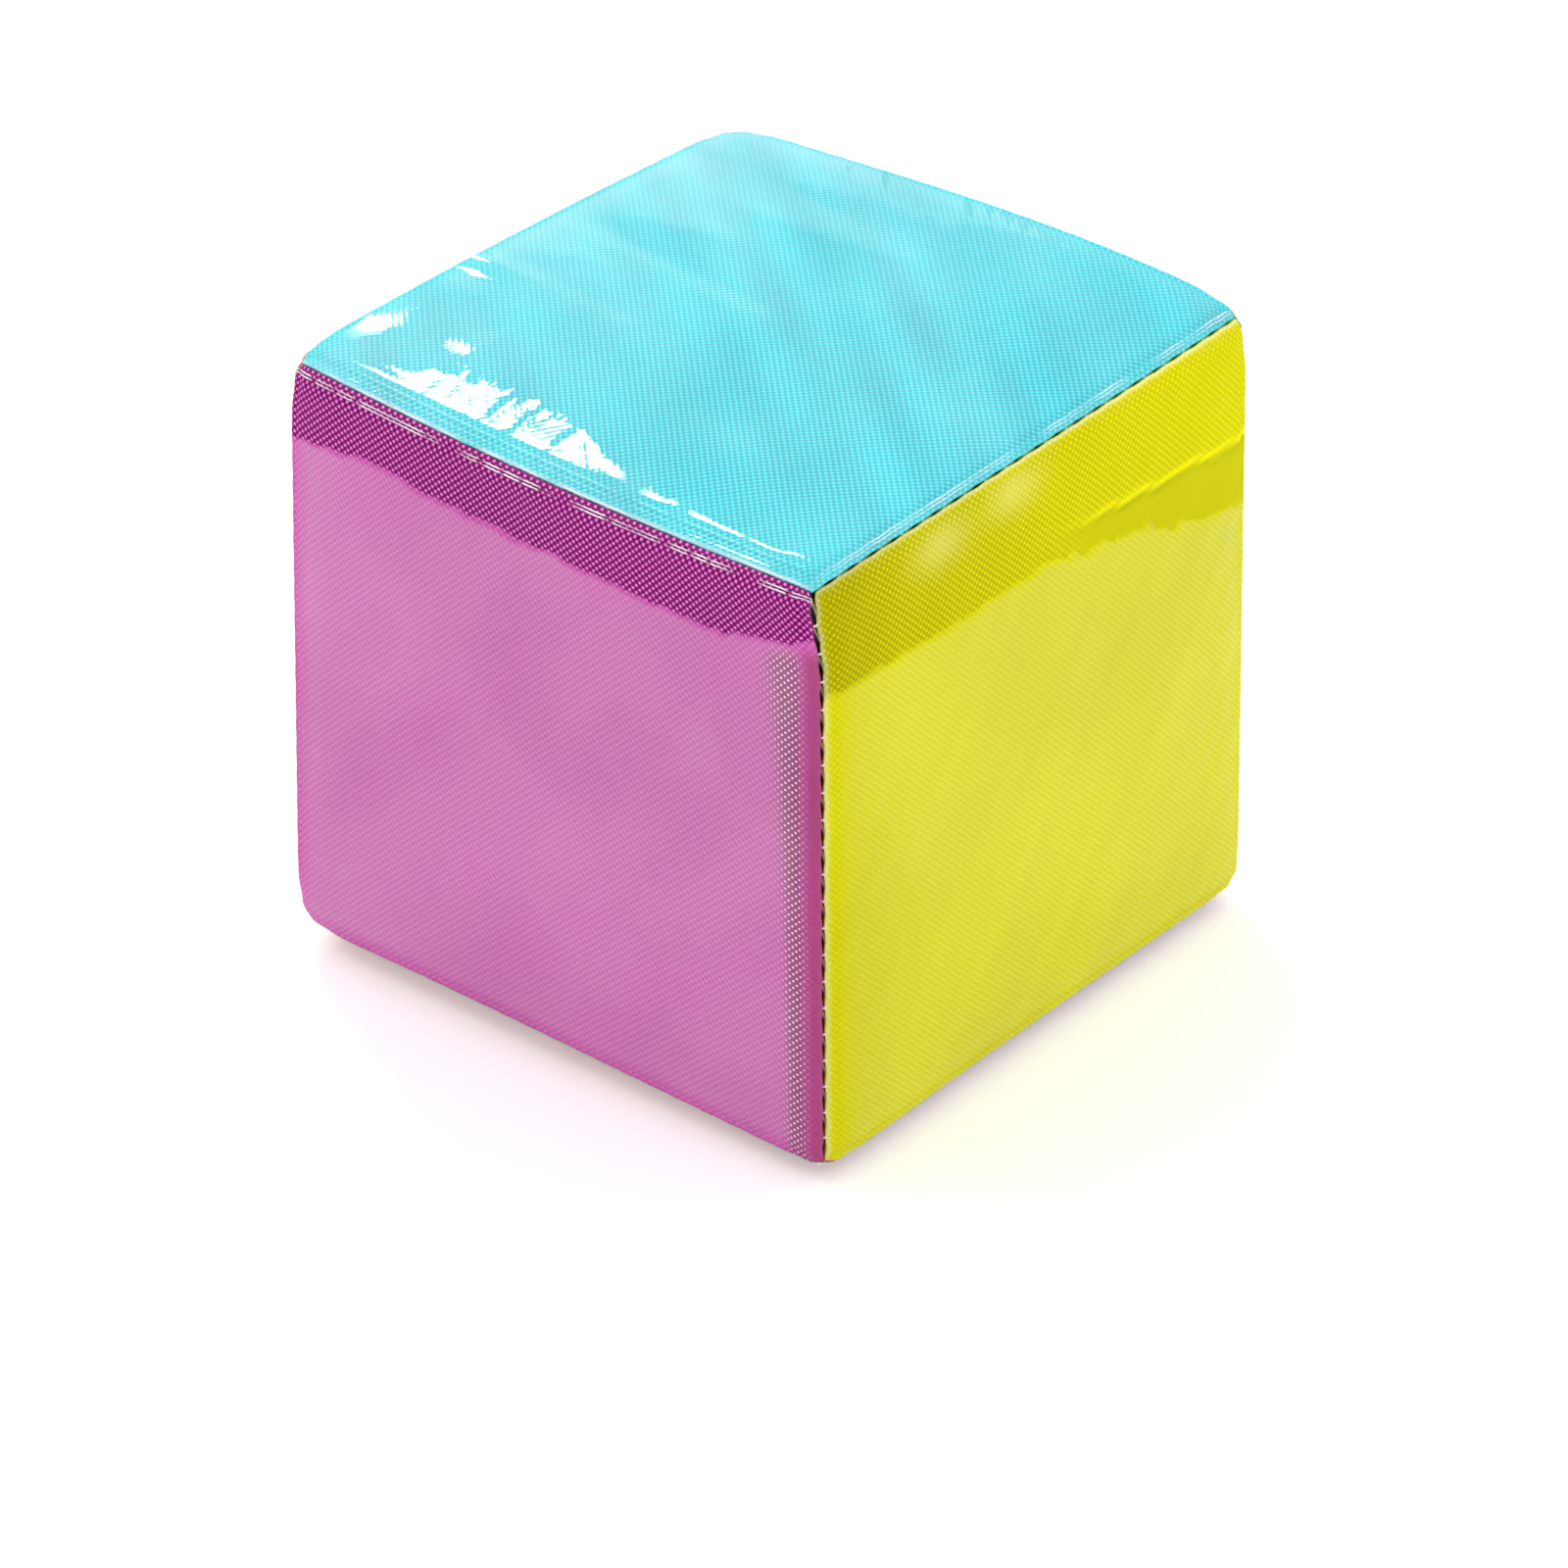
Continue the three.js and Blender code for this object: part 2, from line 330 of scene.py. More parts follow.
class Form:
    """The rounded cube, worked out from the sizes: layers are named by their edge radius."""

    def __init__(self, sizes):
        self.sizes = sizes
        self.half = sizes.die_size / 2
        self.core = self.half - sizes.crown - sizes.edge_radius
        self.film_radius = sizes.edge_radius
        self.fabric_radius = sizes.edge_radius - sizes.fabric_depth
        self.centre = Vector((0, 0, CAD_LOW.z + self.half))
        self.stitch_pitch = 2 * self.core / sizes.stitches

    def reach(self, radius):
        """Arc length from the middle of a face to the middle of a seam."""
        return self.core + radius * math.pi / 4

    def layer(self, radius, p, q):
        """Points and outward directions of a layer, p sideways and q towards the mouth."""
        a = np.maximum(np.abs(p) - self.core, 0) / radius
        b = np.maximum(np.abs(q) - self.core, 0) / radius
        out = np.stack([np.sign(p) * np.tan(a), np.sign(q) * np.tan(b), np.ones_like(p)], -1)
        out /= np.linalg.norm(out, axis=-1, keepdims=True)
        x = np.clip(p, -self.core, self.core)
        y = np.clip(q, -self.core, self.core)
        points = np.stack([x, y, np.full_like(p, self.core)], -1) + radius * out
        points[..., 2] += self.sizes.crown * (1 - (x / self.core) ** 4) * (1 - (y / self.core) ** 4)
        return points, out

    def stitched(self, along):
        """1 at a stitch of a seam, 0 between two stitches."""
        return 0.5 - 0.5 * np.cos(2 * math.pi * (along + self.core) / self.stitch_pitch)

    def drawn_back(self, face, p, q, reach):
        """The layer's coordinates, drawn back from each seam by half its gap."""
        moved = []
        for axis, (across, along) in enumerate(((p, q), (q, p))):
            shift = np.zeros_like(p)
            for sign in (-1, 1):
                neighbour = face.side(axis, sign)
                closed, opened = seam_gap(face.name, neighbour)
                gap = opened + (closed - opened) * self.stitched(along)
                if {face.name, neighbour} == NEAR_SEAM:
                    gap = gap + self.sizes.seam_flare * np.exp((along - reach) / FLARE_REACH)
                shift += sign * gap / 2 * np.exp(-(reach - sign * across) / GAP_REACH)
            moved.append(across - shift)
        return moved

    def on_face(self, face, points):
        """Points in a face's own axes, brought to their place on the die."""
        axes = np.array([list(axis) for axis in face.axes])
        return self.settled(points @ axes + np.array(self.centre))

    def settled(self, points):
        """Points of the plain cube, moved as the soft block has settled."""
        sizes = self.sizes
        offset = points - np.array(self.centre)
        x, y, z = (offset / self.half).T
        high = np.clip((1 + z) / 2, 0, 1)
        foot = (1 - high) * (1 - x) / 2 * (1 - y) / 2
        grow = 1 + sizes.foot_spread / self.half * (1 - high)
        moved = points * np.stack([grow, grow, np.ones_like(grow)], -1)
        moved[:, 0] -= sizes.foot_step * foot
        moved[:, 2] += sizes.foot_lift * foot ** 3
        moved[:, 2] -= sizes.corner_drop * high * (1 + x) / 2 * (1 - y) / 2
        front = sizes.seam_sag * self.bowed(1 + y, x, FRONT_BOW_REACH)
        back = sizes.seam_bow * self.bowed(1 - y, x, BACK_BOW_REACH) * (1 + 0.5 * x)
        left = 0.4 * sizes.seam_bow * self.bowed(1 + x, y, BACK_BOW_REACH)
        moved[:, 2] += (back + left - front) * high ** 3
        under = sizes.foot_bow * self.bowed(1 + y, x, FRONT_BOW_REACH) * (1 - 0.5 * x)
        moved[:, 2] += under * (1 - high) ** 3
        near = np.exp(-((1 - x) ** 2 + (1 + y) ** 2) * (self.half / LEAN_REACH) ** 2)
        lean = sizes.seam_lean * near * smooth(0.05, 0.17, 1 - high)
        moved[:, :2] += lean[:, None] * np.array(SCREEN_RIGHT)
        corner = smooth(0.88, 0.945, np.abs(offset).sum(-1) / (3 * self.half))
        near_left = (1 - high) * np.clip(-x, 0, 1) * np.clip(-y, 0, 1)
        corner *= sizes.corner_round * (0.35 + 0.65 * high + near_left)
        moved -= offset * (corner / (math.sqrt(3) * self.half))[:, None]
        return moved

    def bowed(self, away, along, reach):
        """How much of a seam's bow a point follows: all at the seam's middle, and less with its distance."""
        return np.exp(-away * self.half / reach) * np.clip(1 - along * along, 0, 1)

    def folded(self, inset):
        """The raised fold along a panel's border, and the ditch that the seam pulls inside it."""
        crest = np.exp(-((inset - 0.5 * MM) / (0.5 * MM)) ** 2)
        ditch = np.exp(-((inset - 1.7 * MM) / (0.6 * MM)) ** 2)
        return self.sizes.fold_height * (crest - 1.2 * ditch)

    def puckered(self, inset, along):
        """How far a stitch draws a layer in beside its seam."""
        return self.sizes.pucker * np.exp(-inset / PUCKER_REACH) * self.stitched(along)


def seam_gap(first, second):
    """Gaps of the seam between two faces: at a stitch, and between two stitches."""
    return SEAM_GAPS.get((first, second)) or SEAM_GAPS.get((second, first)) or SEAM_GAP


def graded(low, high, border, fine, coarse):
    """Steps from low to high, fine near both ends and coarse between."""
    first = np.linspace(low, low + border, round(border / fine), endpoint=False)
    middle_count = round((high - low - 2 * border) / coarse)
    middle = np.linspace(low + border, high - border, middle_count, endpoint=False)
    last = np.linspace(high - border, high, round(border / fine) + 1)
    return np.concatenate([first, middle, last])


def ripples(p, q, seed, count, shortest, longest):
    """A smooth, seeded unevenness of about one unit, made of plane waves."""
    draw = np.random.default_rng(seed)
    total = np.zeros_like(p)
    for _ in range(count):
        angle = draw.uniform(0, math.pi)
        wave = draw.uniform(shortest, longest)
        along = p * math.cos(angle) + q * math.sin(angle)
        total += np.sin(2 * math.pi * along / wave + draw.uniform(0, 2 * math.pi))
    return total / math.sqrt(count)


def smooth(low, high, value):
    """Zero below low, one above high, and a soft step between."""
    t = np.clip((value - low) / (high - low), 0, 1)
    return t * t * (3 - 2 * t)


def cling_distance(face, half, p, q):
    """How far inside the band of clinging film below the mouth a point lies."""
    depth = np.interp(p, np.linspace(-half, half, len(face.cling)), face.cling)
    if face.name == CREASE_FACE:
        torn = ripples(p, 0.3 * q, face.seed + 70, 8, 1.5 * MM, 6 * MM)
        share = p / half
        depth = depth + 0.9 * MM * torn * smooth(-0.05, 0.2, share) * smooth(-0.75, -0.5, -share)
    return depth - (half - q)


# Meshes

def grid_faces(columns, rows):
    """Quads over a grid of points, one column after another."""
    i, j = np.meshgrid(np.arange(columns - 1), np.arange(rows - 1), indexing="ij")
    corner = (i * rows + j).ravel()
    return np.stack([corner, corner + rows, corner + rows + 1, corner + 1], -1)


def border_loop(columns, rows):
    """The grid's outer points, anticlockwise from its first corner."""
    index = np.arange(columns * rows).reshape(columns, rows)
    return np.concatenate([index[:-1, 0], index[-1, :-1], index[:0:-1, -1], index[0, :0:-1]])


def new_piece(name, points, faces, uv, values):
    """A mesh object with its cloth coordinates and its point values."""
    mesh = bpy.data.meshes.new(name)
    mesh.from_pydata(points.tolist(), [], faces.tolist())
    layer = mesh.uv_layers.new(name=CLOTH_UV)
    corners = np.zeros(len(mesh.loops), np.int32)
    mesh.loops.foreach_get("vertex_index", corners)
    layer.data.foreach_set("uv", uv[corners].astype(np.float32).ravel())
    for key, numbers in values.items():
        attribute = mesh.attributes.new(key, "FLOAT", "POINT")
        attribute.data.foreach_set("value", numbers.astype(np.float32))
    mesh.shade_smooth()
    obj = bpy.data.objects.new(name, mesh)
    bpy.context.scene.collection.objects.link(obj)
    return obj


def apply_modifiers(obj):
    """Gives an object its evaluated mesh and takes its modifiers off."""
    graph = bpy.context.evaluated_depsgraph_get()
    finished = obj.evaluated_get(graph)
    mesh = bpy.data.meshes.new_from_object(finished, preserve_all_data_layers=True, depsgraph=graph)
    obj.modifiers.clear()
    obj.data = mesh


def settle_mesh(mesh, form):
    """Moves a plain cube's mesh as the soft block has settled."""
    points = np.zeros(3 * len(mesh.vertices), np.float32)
    mesh.vertices.foreach_get("co", points)
    moved = form.settled(points.reshape(-1, 3).astype(float))
    mesh.vertices.foreach_set("co", moved.astype(np.float32).ravel())
    mesh.update()


def thicken(obj, thickness):
    """Gives a sheet its thickness, inwards, with the second material on its cut edges."""
    solid = obj.modifiers.new("thickness", "SOLIDIFY")
    solid.thickness = thickness
    solid.offset = -1
    solid.material_offset_rim = 1
    apply_modifiers(obj)


# Materials

class NodeBoard:
    """Short calls that lay out the nodes of a tree."""

    def __init__(self, tree):
        self.tree = tree
        self.tree.nodes.clear()

    def add(self, kind, inputs=None, **settings):
        """A node with its settings, whose inputs are sockets to link or plain values."""
        node = self.tree.nodes.new(kind)
        for key, value in settings.items():
            setattr(node, key, value)
        for key, value in (inputs or {}).items():
            if isinstance(value, bpy.types.NodeSocket):
                self.tree.links.new(value, node.inputs[key])
            else:
                node.inputs[key].default_value = value
        return node

    def point_value(self, name):
        """One of the values that a piece's points carry."""
        return self.add("ShaderNodeAttribute", attribute_name=name).outputs["Fac"]

    def cloth_place(self):
        """Place on the flat cloth."""
        return self.add("ShaderNodeUVMap", uv_map=CLOTH_UV).outputs["UV"]

    def bump(self, height, strength):
        """A surface direction that follows a height."""
        inputs = {"Strength": strength, "Distance": 1.0, "Height": height}
        return self.add("ShaderNodeBump", inputs).outputs[0]

    def math(self, operation, *values):
        """The result of a math node."""
        node = self.add("ShaderNodeMath", dict(enumerate(values)), operation=operation)
        return node.outputs[0]

    def ramp(self, value, low, high, first=0.0, last=1.0):
        """A value taken smoothly from one range to another."""
        inputs = {"Value": value, "From Min": low, "From Max": high, "To Min": first, "To Max": last}
        return self.add("ShaderNodeMapRange", inputs, interpolation_type="SMOOTHSTEP").outputs[0]

    def noise(self, vector, scale, detail=2.0):
        """A noise between 0 and 1."""
        inputs = {"Vector": vector, "Scale": scale, "Detail": detail}
        return self.add("ShaderNodeTexNoise", inputs).outputs[0]

    def mix_colour(self, share, first, second):
        """A blend of two colours."""
        node = self.add("ShaderNodeMix", data_type="RGBA")
        for socket, value in zip((node.inputs[0], node.inputs[6], node.inputs[7]), (share, first, second)):
            if isinstance(value, bpy.types.NodeSocket):
                self.tree.links.new(value, socket)
            else:
                socket.default_value = value
        return node.outputs[2]

    def mix_shader(self, share, first, second):
        """A blend of two shaders."""
        return self.add("ShaderNodeMixShader", {0: share, 1: first, 2: second}).outputs[0]

    def finish(self, shader):
        """Sends a shader to the material's output."""
        output = self.add("ShaderNodeOutputMaterial")
        self.tree.links.new(shader, output.inputs["Surface"])


def new_material(name):
    """A material and its empty node board."""
    material = bpy.data.materials.new(name)
    material.use_nodes = True
    return material, NodeBoard(material.node_tree)


def opaque(rgb, scale=1.0):
    """A colour with full alpha, made lighter or darker."""
    return (*(min(1.0, channel * scale) for channel in rgb), 1.0)


def plain_weave(board, uv, pitch):
    """Yarns over and under: 1 at a raised warp crossing, -1 at a raised weft crossing."""
    drift = board.math("MULTIPLY", board.noise(uv, 35), 5.0)
    split = board.add("ShaderNodeSeparateXYZ", {"Vector": uv})
    waves = []
    for axis in ("X", "Y"):
        turn = board.math("MULTIPLY_ADD", split.outputs[axis], math.pi / pitch, drift)
        waves.append(board.math("COSINE", turn))
    return board.math("MULTIPLY", *waves)


def cling_mask(board, uv, crossing):
    """1 where the film clings to the fabric, with a border that is ragged at the yarns' size."""
    ragged = board.math("MULTIPLY_ADD", board.noise(uv, 330, 3.0), 2.4 * MM, -1.2 * MM)
    distance = board.point_value(CLING)
    total = board.math("ADD", distance, ragged)
    total = board.math("MULTIPLY_ADD", crossing, 0.3 * MM, total)
    return board.ramp(total, -0.25 * MM, 0.25 * MM)


def fabric_material(swatch, rgb, pitch):
    """Plain-woven cover cloth, which shows its yarns most where the film clings to it. Its yarn tones, the
    glints beside tight sides and the pale fold lines are painted shade and highlight, and its darker pressed
    strips are partly painted shade.
    """
    material, board = new_material(swatch.slot)
    uv = board.cloth_place()
    crossing = plain_weave(board, uv, pitch)
    crisp = board.point_value(CRISP)
    # Yarn tones: painted shade between the yarns and painted highlight on their crests
    spread = board.math("SUBTRACT", board.ramp(crossing, -0.6, 0.95), 0.5)
    yarn = board.math("MULTIPLY_ADD", spread, crisp, 0.5)
    soft = board.mix_colour(yarn, opaque(rgb, swatch.contrast[0]), opaque(rgb, swatch.contrast[1]))
    sharp = board.mix_colour(board.ramp(crossing, -0.15, 0.95), opaque(swatch.low), opaque(swatch.high))
    dots = board.point_value(DOTS)
    clung = board.mix_colour(dots, opaque(swatch.calm), sharp)
    woven = board.mix_colour(cling_mask(board, uv, crossing), soft, clung)
    # Painted glints: near-white yarn crests beside a tight side
    tight = board.point_value(TIGHT_GLINTS)
    bright = tuple(0.35 * channel + 0.65 for channel in swatch.high)
    ground = tuple(0.55 * calm + 0.45 * low for calm, low in zip(swatch.calm, swatch.low))
    glint_colours = board.mix_colour(board.ramp(crossing, 0.4, 0.65), opaque(ground), opaque(bright))
    woven = board.mix_colour(tight, woven, glint_colours)
    # A darker strip along a tight side, where the film lies close: partly painted shade of the rounded edge
    pressed = board.point_value(PRESSED_SHADE)
    woven = board.mix_colour(pressed, woven, opaque(swatch.calm))
    # Painted highlight: a pale line on the crest of the panel's folded edge
    rim = board.point_value(FOLD_HIGHLIGHT)
    pale = tuple(0.55 * channel + 0.42 for channel in rgb)
    woven = board.mix_colour(rim, woven, opaque(pale))
    patches = board.ramp(board.noise(uv, 22), 0.3, 0.7, 0.95, 1.04)
    fibres = board.ramp(board.noise(uv, 4200, 1.0), 0.2, 0.8, 0.93, 1.07)
    shade = board.point_value(SHADE)
    shade = board.math("MULTIPLY", shade, board.math("MULTIPLY", patches, fibres))
    base = board.add("ShaderNodeVectorMath", {0: woven, "Scale": shade}, operation="SCALE").outputs[0]
    height = board.math("MULTIPLY", crossing, 0.05 * MM)
    bump = board.bump(height, 0.8)
    shader = board.add("ShaderNodeBsdfPrincipled", {
        "Base Color": base, "Roughness": 0.7, "Specular IOR Level": 0.03, "Normal": bump,
    })
    board.finish(shader.outputs[0])
    return material


def film_material(pitch):
    """Clear soft film: glossy and a little hazy where it is loose, and quiet where it clings; painted
    highlights are laid in as white haze.
    """
    material, board = new_material("clear_film")
    uv = board.cloth_place()
    crossing = plain_weave(board, uv, pitch)
    cling = cling_mask(board, uv, crossing)
    emboss = board.math("MULTIPLY", crossing, 0.003 * MM)
    waves = board.math("MULTIPLY_ADD", board.noise(uv, 260), 0.014 * MM, emboss)
    bump = board.bump(waves, 1.0)
    outside = board.math("SUBTRACT", 1.0, board.add("ShaderNodeNewGeometry").outputs["Backfacing"])
    sheen = board.point_value(PAINTED_HIGHLIGHT)
    loose = board.math("MULTIPLY", board.ramp(cling, 0, 1, 1.0, 0.06), outside)
    haze = board.point_value(VEIL)
    uneven = board.ramp(board.noise(uv, 40), 0.3, 0.7, 0.75, 1.25)
    haze = board.math("MULTIPLY", haze, board.math("MULTIPLY", uneven, loose))
    shine = board.point_value(SHINE)
    # Painted highlights: the pale spots, the top's front fold and the free edge, as white haze
    spots = board.math("MAXIMUM", sheen, hem_highlights(board))
    haze = board.math("MAXIMUM", haze, board.math("MULTIPLY", spots, outside))
    clear = board.add("ShaderNodeBsdfTransparent", {"Color": (0.985, 0.99, 0.995, 1)}).outputs[0]
    white = board.add("ShaderNodeBsdfDiffuse", {"Color": (0.95, 0.95, 0.97, 1)}).outputs[0]
    body = board.mix_shader(haze, clear, white)
    gloss = board.add("ShaderNodeBsdfGlossy", {"Roughness": 0.012, "Normal": bump}).outputs[0]
    mirror = board.add("ShaderNodeFresnel", {"IOR": 1.45, "Normal": bump}).outputs[0]
    mirror = board.math("MULTIPLY", mirror, board.math("MULTIPLY", loose, shine))
    board.finish(board.mix_shader(mirror, body, gloss))
    return material


def hem_highlights(board):
    """Two painted highlights along the film's free edge: white lines where it is bent sharply."""
    inset = board.point_value(BESIDE)
    lines = []
    for low, high in ((-0.1 * MM, 0.14 * MM), (0.5 * MM, 0.64 * MM)):
        middle = board.math("ABSOLUTE", board.math("SUBTRACT", inset, (low + high) / 2))
        lines.append(board.ramp(middle, (high - low) / 2, (high - low) / 2 + 0.06 * MM, 1.0, 0.0))
    hem = board.point_value(HEM_HIGHLIGHT)
    return board.math("MULTIPLY", board.math("MAXIMUM", *lines), hem)


def film_edge_material(rgb):
    """The film's cut edge, which looks milky: a painted highlight where the free edge's white lines show,
    and clear elsewhere.
    """
    material, board = new_material("film_cut_edge")
    place = board.add("ShaderNodeTexCoord").outputs["Object"]
    tone = board.ramp(board.noise(place, 700), 0.35, 0.65)
    base = board.mix_colour(tone, opaque(rgb, 0.75), opaque(rgb))
    shader = board.add("ShaderNodeBsdfPrincipled", {"Base Color": base, "Roughness": 0.25})
    clear = board.add("ShaderNodeBsdfTransparent").outputs[0]
    hem = board.point_value(HEM_HIGHLIGHT)
    board.finish(board.mix_shader(hem, clear, shader.outputs[0]))
    return material


def thread_material(rgb):
    """Spun sewing thread, with a fine twist and a soft sheen."""
    material, board = new_material("seam_thread")
    place = board.add("ShaderNodeTexCoord").outputs["Object"]
    fibres = board.noise(place, 5200, 2.0)
    base = board.mix_colour(board.ramp(fibres, 0.3, 0.7), opaque(rgb, 0.8), opaque(rgb, 1.1))
    height = board.math("MULTIPLY", fibres, 0.05 * MM)
    bump = board.bump(height, 0.6)
    shader = board.add("ShaderNodeBsdfPrincipled", {
        "Base Color": base, "Roughness": 0.55, "Sheen Weight": 0.2, "Normal": bump,
    })
    board.finish(shader.outputs[0])
    return material


def foam_material(rgb):
    """Open-celled foam, pitted all over."""
    material, board = new_material("soft_foam")
    place = board.add("ShaderNodeTexCoord").outputs["Object"]
    cells = board.add("ShaderNodeTexVoronoi", {"Vector": place, "Scale": 900.0}).outputs["Distance"]
    # Darker in its pits: painted shade
    base = board.mix_colour(board.ramp(cells, 0.1, 0.6), opaque(rgb, 0.7), opaque(rgb))
    height = board.math("MULTIPLY", cells, 0.4 * MM)
    bump = board.bump(height, 0.9)
    shader = board.add("ShaderNodeBsdfPrincipled", {
        "Base Color": base, "Roughness": 0.95, "Specular IOR Level": 0.1, "Normal": bump,
    })
    board.finish(shader.outputs[0])
    return material


# Foam core

class DICE_OT_foam_core(bpy.types.Operator):
    """Makes the foam block inside the cover, slit along its edges for the seam allowances"""

    bl_idname = "pocket_dice.foam_core"
    bl_label = "Foam core"

    def execute(self, context):
        node = "foam_core"
        mesh = frame["nodes"][node].data.copy()
        mesh.materials.clear()
        mesh.materials.append(foam_material(context.scene.dice_colours.foam))
        foam = bpy.data.objects.new("foam_block", mesh)
        context.scene.collection.objects.link(foam)
        weld = foam.modifiers.new("weld", "WELD")
        weld.merge_threshold = 0.01 * MM
        cells = foam.modifiers.new("cells", "REMESH")
        cells.mode = "VOXEL"
        cells.voxel_size = 1.1 * MM
        cells.use_smooth_shade = True
        apply_modifiers(foam)
        settle_mesh(foam.data, Form(context.scene.dice_sizes))
        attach(foam, "cube")
        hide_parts(node)
        return {"FINISHED"}


# Fabric panels

CLOTH_UNEVENNESS = 0.1 * MM  # how far the cloth rises and falls between its seams
GLINT_INSET = 4 * MM  # from a tight side's seam to the line of painted glints on the weave


def panel_lift(form, face, p, q, reach):
    """How far the cloth stands off its plain form: drawn in at the stitches, and a little uneven."""
    lift = CLOTH_UNEVENNESS * ripples(p, q, face.seed, 5, 22 * MM, 46 * MM)
    inset = reach - np.maximum(np.abs(p), np.abs(q))
    lift *= smooth(0, 8 * MM, inset)
    lift += form.folded(inset)
    for across, along in ((p, q), (q, p)):
        lift -= form.puckered(reach - np.abs(across), along)
    return lift


def tight_sides(face, p, reach, profile):
    """A profile over the distance from a seam, at each side where the film is drawn tight."""
    left, right = (share * profile(reach - sign * p) for share, sign in zip(face.tight, (-1, 1)))
    return left + right


def glint_line(inset, high):
    """How strong the painted glints on the weave are beside a tight strip: in a narrow line, which widens at
    the mouth.
    """
    off = inset - GLINT_INSET - 0.6 * MM * high
    reach = np.where(off > 0, 1.3 * MM + 4 * MM * high ** 4, 1.4 * MM)
    return np.clip(1.4 * np.exp(-(off / reach) ** 2), 0, 1)


def strip(inset):
    """1 in the strip of a tight side where the film lies close on the cloth, and the cloth is drawn darker,
    partly as painted shade.
    """
    return 1 - smooth(0.8 * MM, STRIP_WIDTH, inset)


def below_crease(p, q):
    """1 in the part of the clinging band that lies below the film's fold."""
    return smooth(-1 * MM, 1.5 * MM, crease_line(p) - q) * smooth(0, 12 * MM, p)


def dottedness(face, p, q, reach):
    """How clearly single yarns show in the clinging film: less on the fold and below it, and under the
    painted highlights.
    """
    dots = np.ones_like(p)
    if face.name == CREASE_FACE:
        dots *= np.interp(p, (-30 * MM, 40 * MM), (1, 0.45)) * (1 - 0.7 * painted_sheens(face, p, q, reach))
        dots *= (1 - 0.85 * below_crease(p, q)) * (1 - crease(p, q))
    return dots


def crispness(face, p, q, reach):
    """How much the yarns differ in tone through the film: under the top's, most at the near corner."""
    if face.name != "top":
        return np.ones_like(p)
    return np.interp((p + q) / reach, (-2, -1, 0, 1), (0.3, 0.65, 0.92, 1.12))


def cloth_tone(face, p, q, reach):
    """Tone of the cloth seen through the film: in bands, darker towards the top's back, and on the creased
    face darker towards its front; with painted highlights in the pale spots and on the crease's ridge, and a
    painted shadow line below that ridge.
    """
    bands = ripples(0.83 * p - 0.56 * q, 0.11 * p + 0.17 * q, face.seed + 80, 7, 5 * MM, 13 * MM)
    tone = 1 + face.banded * bands
    if face.name == "top":
        tone -= smooth(0, reach, -p) * (0.05 + 0.06 * smooth(0, reach, -q))
    if face.name == CREASE_FACE:
        band = smooth(-0.5 * MM, 0.5 * MM, cling_distance(face, reach, p, q)) * (1 - below_crease(p, q))
        gain = np.interp(p, (-45 * MM, -30 * MM, -12 * MM, 30 * MM), (0.8, 0.9, 1.0, 1.14))
        # Lighter towards the back and darker towards the front, with the painted highlights of the pale
        # spots
        tone += band * (gain - 1 + 0.2 * painted_sheens(face, p, q, reach)) - 0.06 * smooth(28 * MM, 44 * MM, -p)
        # A painted highlight on the crease's ridge, and a painted shadow line just below it
        tone += 0.42 * crease(p, q) - 0.2 * crease(p, q + 0.9 * MM)
    return tone


def turned_in(allowance, border, uv, steps=5):
    """Rings of the seam allowance, from the panel's border inwards along the seams' middle planes."""
    half = np.abs(border[:, :2]).max()
    rings = []
    flats = []
    for step in range(1, steps + 1):
        inwards = allowance * step / steps
        fall = inwards / math.sqrt(2)
        ring = border * np.array([1 - fall / half, 1 - fall / half, 1]) - np.array([0, 0, fall])
        rings.append(ring)
        flats.append(uv * (1 + inwards / half))
    return rings, flats


def fabric_panel(form, face, material):
    """One cover panel: rounded over at its border, with its seam allowances turned in."""
    radius = form.fabric_radius
    reach = form.reach(radius)
    line = graded(-reach, reach, 6 * MM, 0.3 * MM, 0.85 * MM)
    p, q = np.meshgrid(line, line, indexing="ij")
    points, out = form.layer(radius, *form.drawn_back(face, p, q, reach))
    points += out * panel_lift(form, face, p, q, reach)[..., None]
    points = points.reshape(-1, 3)
    uv = np.stack([p.ravel(), q.ravel()], -1)
    count = len(line)
    faces = grid_faces(count, count)
    loop = border_loop(count, count)
    rings, flats = turned_in(form.sizes.seam_allowance, points[loop], uv[loop])
    before = loop
    start = len(points)
    for ring in rings:
        after = start + np.arange(len(loop))
        skirt = np.stack([before, after, np.roll(after, -1), np.roll(before, -1)], -1)
        faces = np.concatenate([faces, skirt])
        before = after
        start += len(loop)
    points = np.concatenate([points, *rings])
    uv = np.concatenate([uv, *flats])
    p, q = uv.T
    high = np.clip((1 + q / reach) / 2, 0, 1)
    below = smooth(0, 3 * MM, -cling_distance(face, reach, p, q))
    inset = reach - np.abs(uv).max(-1)
    values = {
        CLING: cling_distance(face, form.reach(form.film_radius), p, q),
        # painted glints on the weave beside a tight side
        TIGHT_GLINTS: tight_sides(face, p, reach, lambda distance: glint_line(distance, high)) * below,
        # darker strip beside a tight side, partly painted shade
        PRESSED_SHADE: tight_sides(face, p, reach, strip) * below,
        DOTS: dottedness(face, p, q, reach),
        # painted highlight on the crest of the folded edge
        FOLD_HIGHLIGHT: SWATCHES[face.name].rim * np.exp(-((inset - 0.3 * MM) / (0.25 * MM)) ** 2),
        SHADE: cloth_tone(face, p, q, reach),
        CRISP: crispness(face, p, q, reach),
    }
    piece = new_piece(f"{face.name}_panel", form.on_face(face, points), faces, uv, values)
    piece.data.materials.append(material)
    piece.data.materials.append(material)
    thicken(piece, form.sizes.fabric_thickness)
    return piece


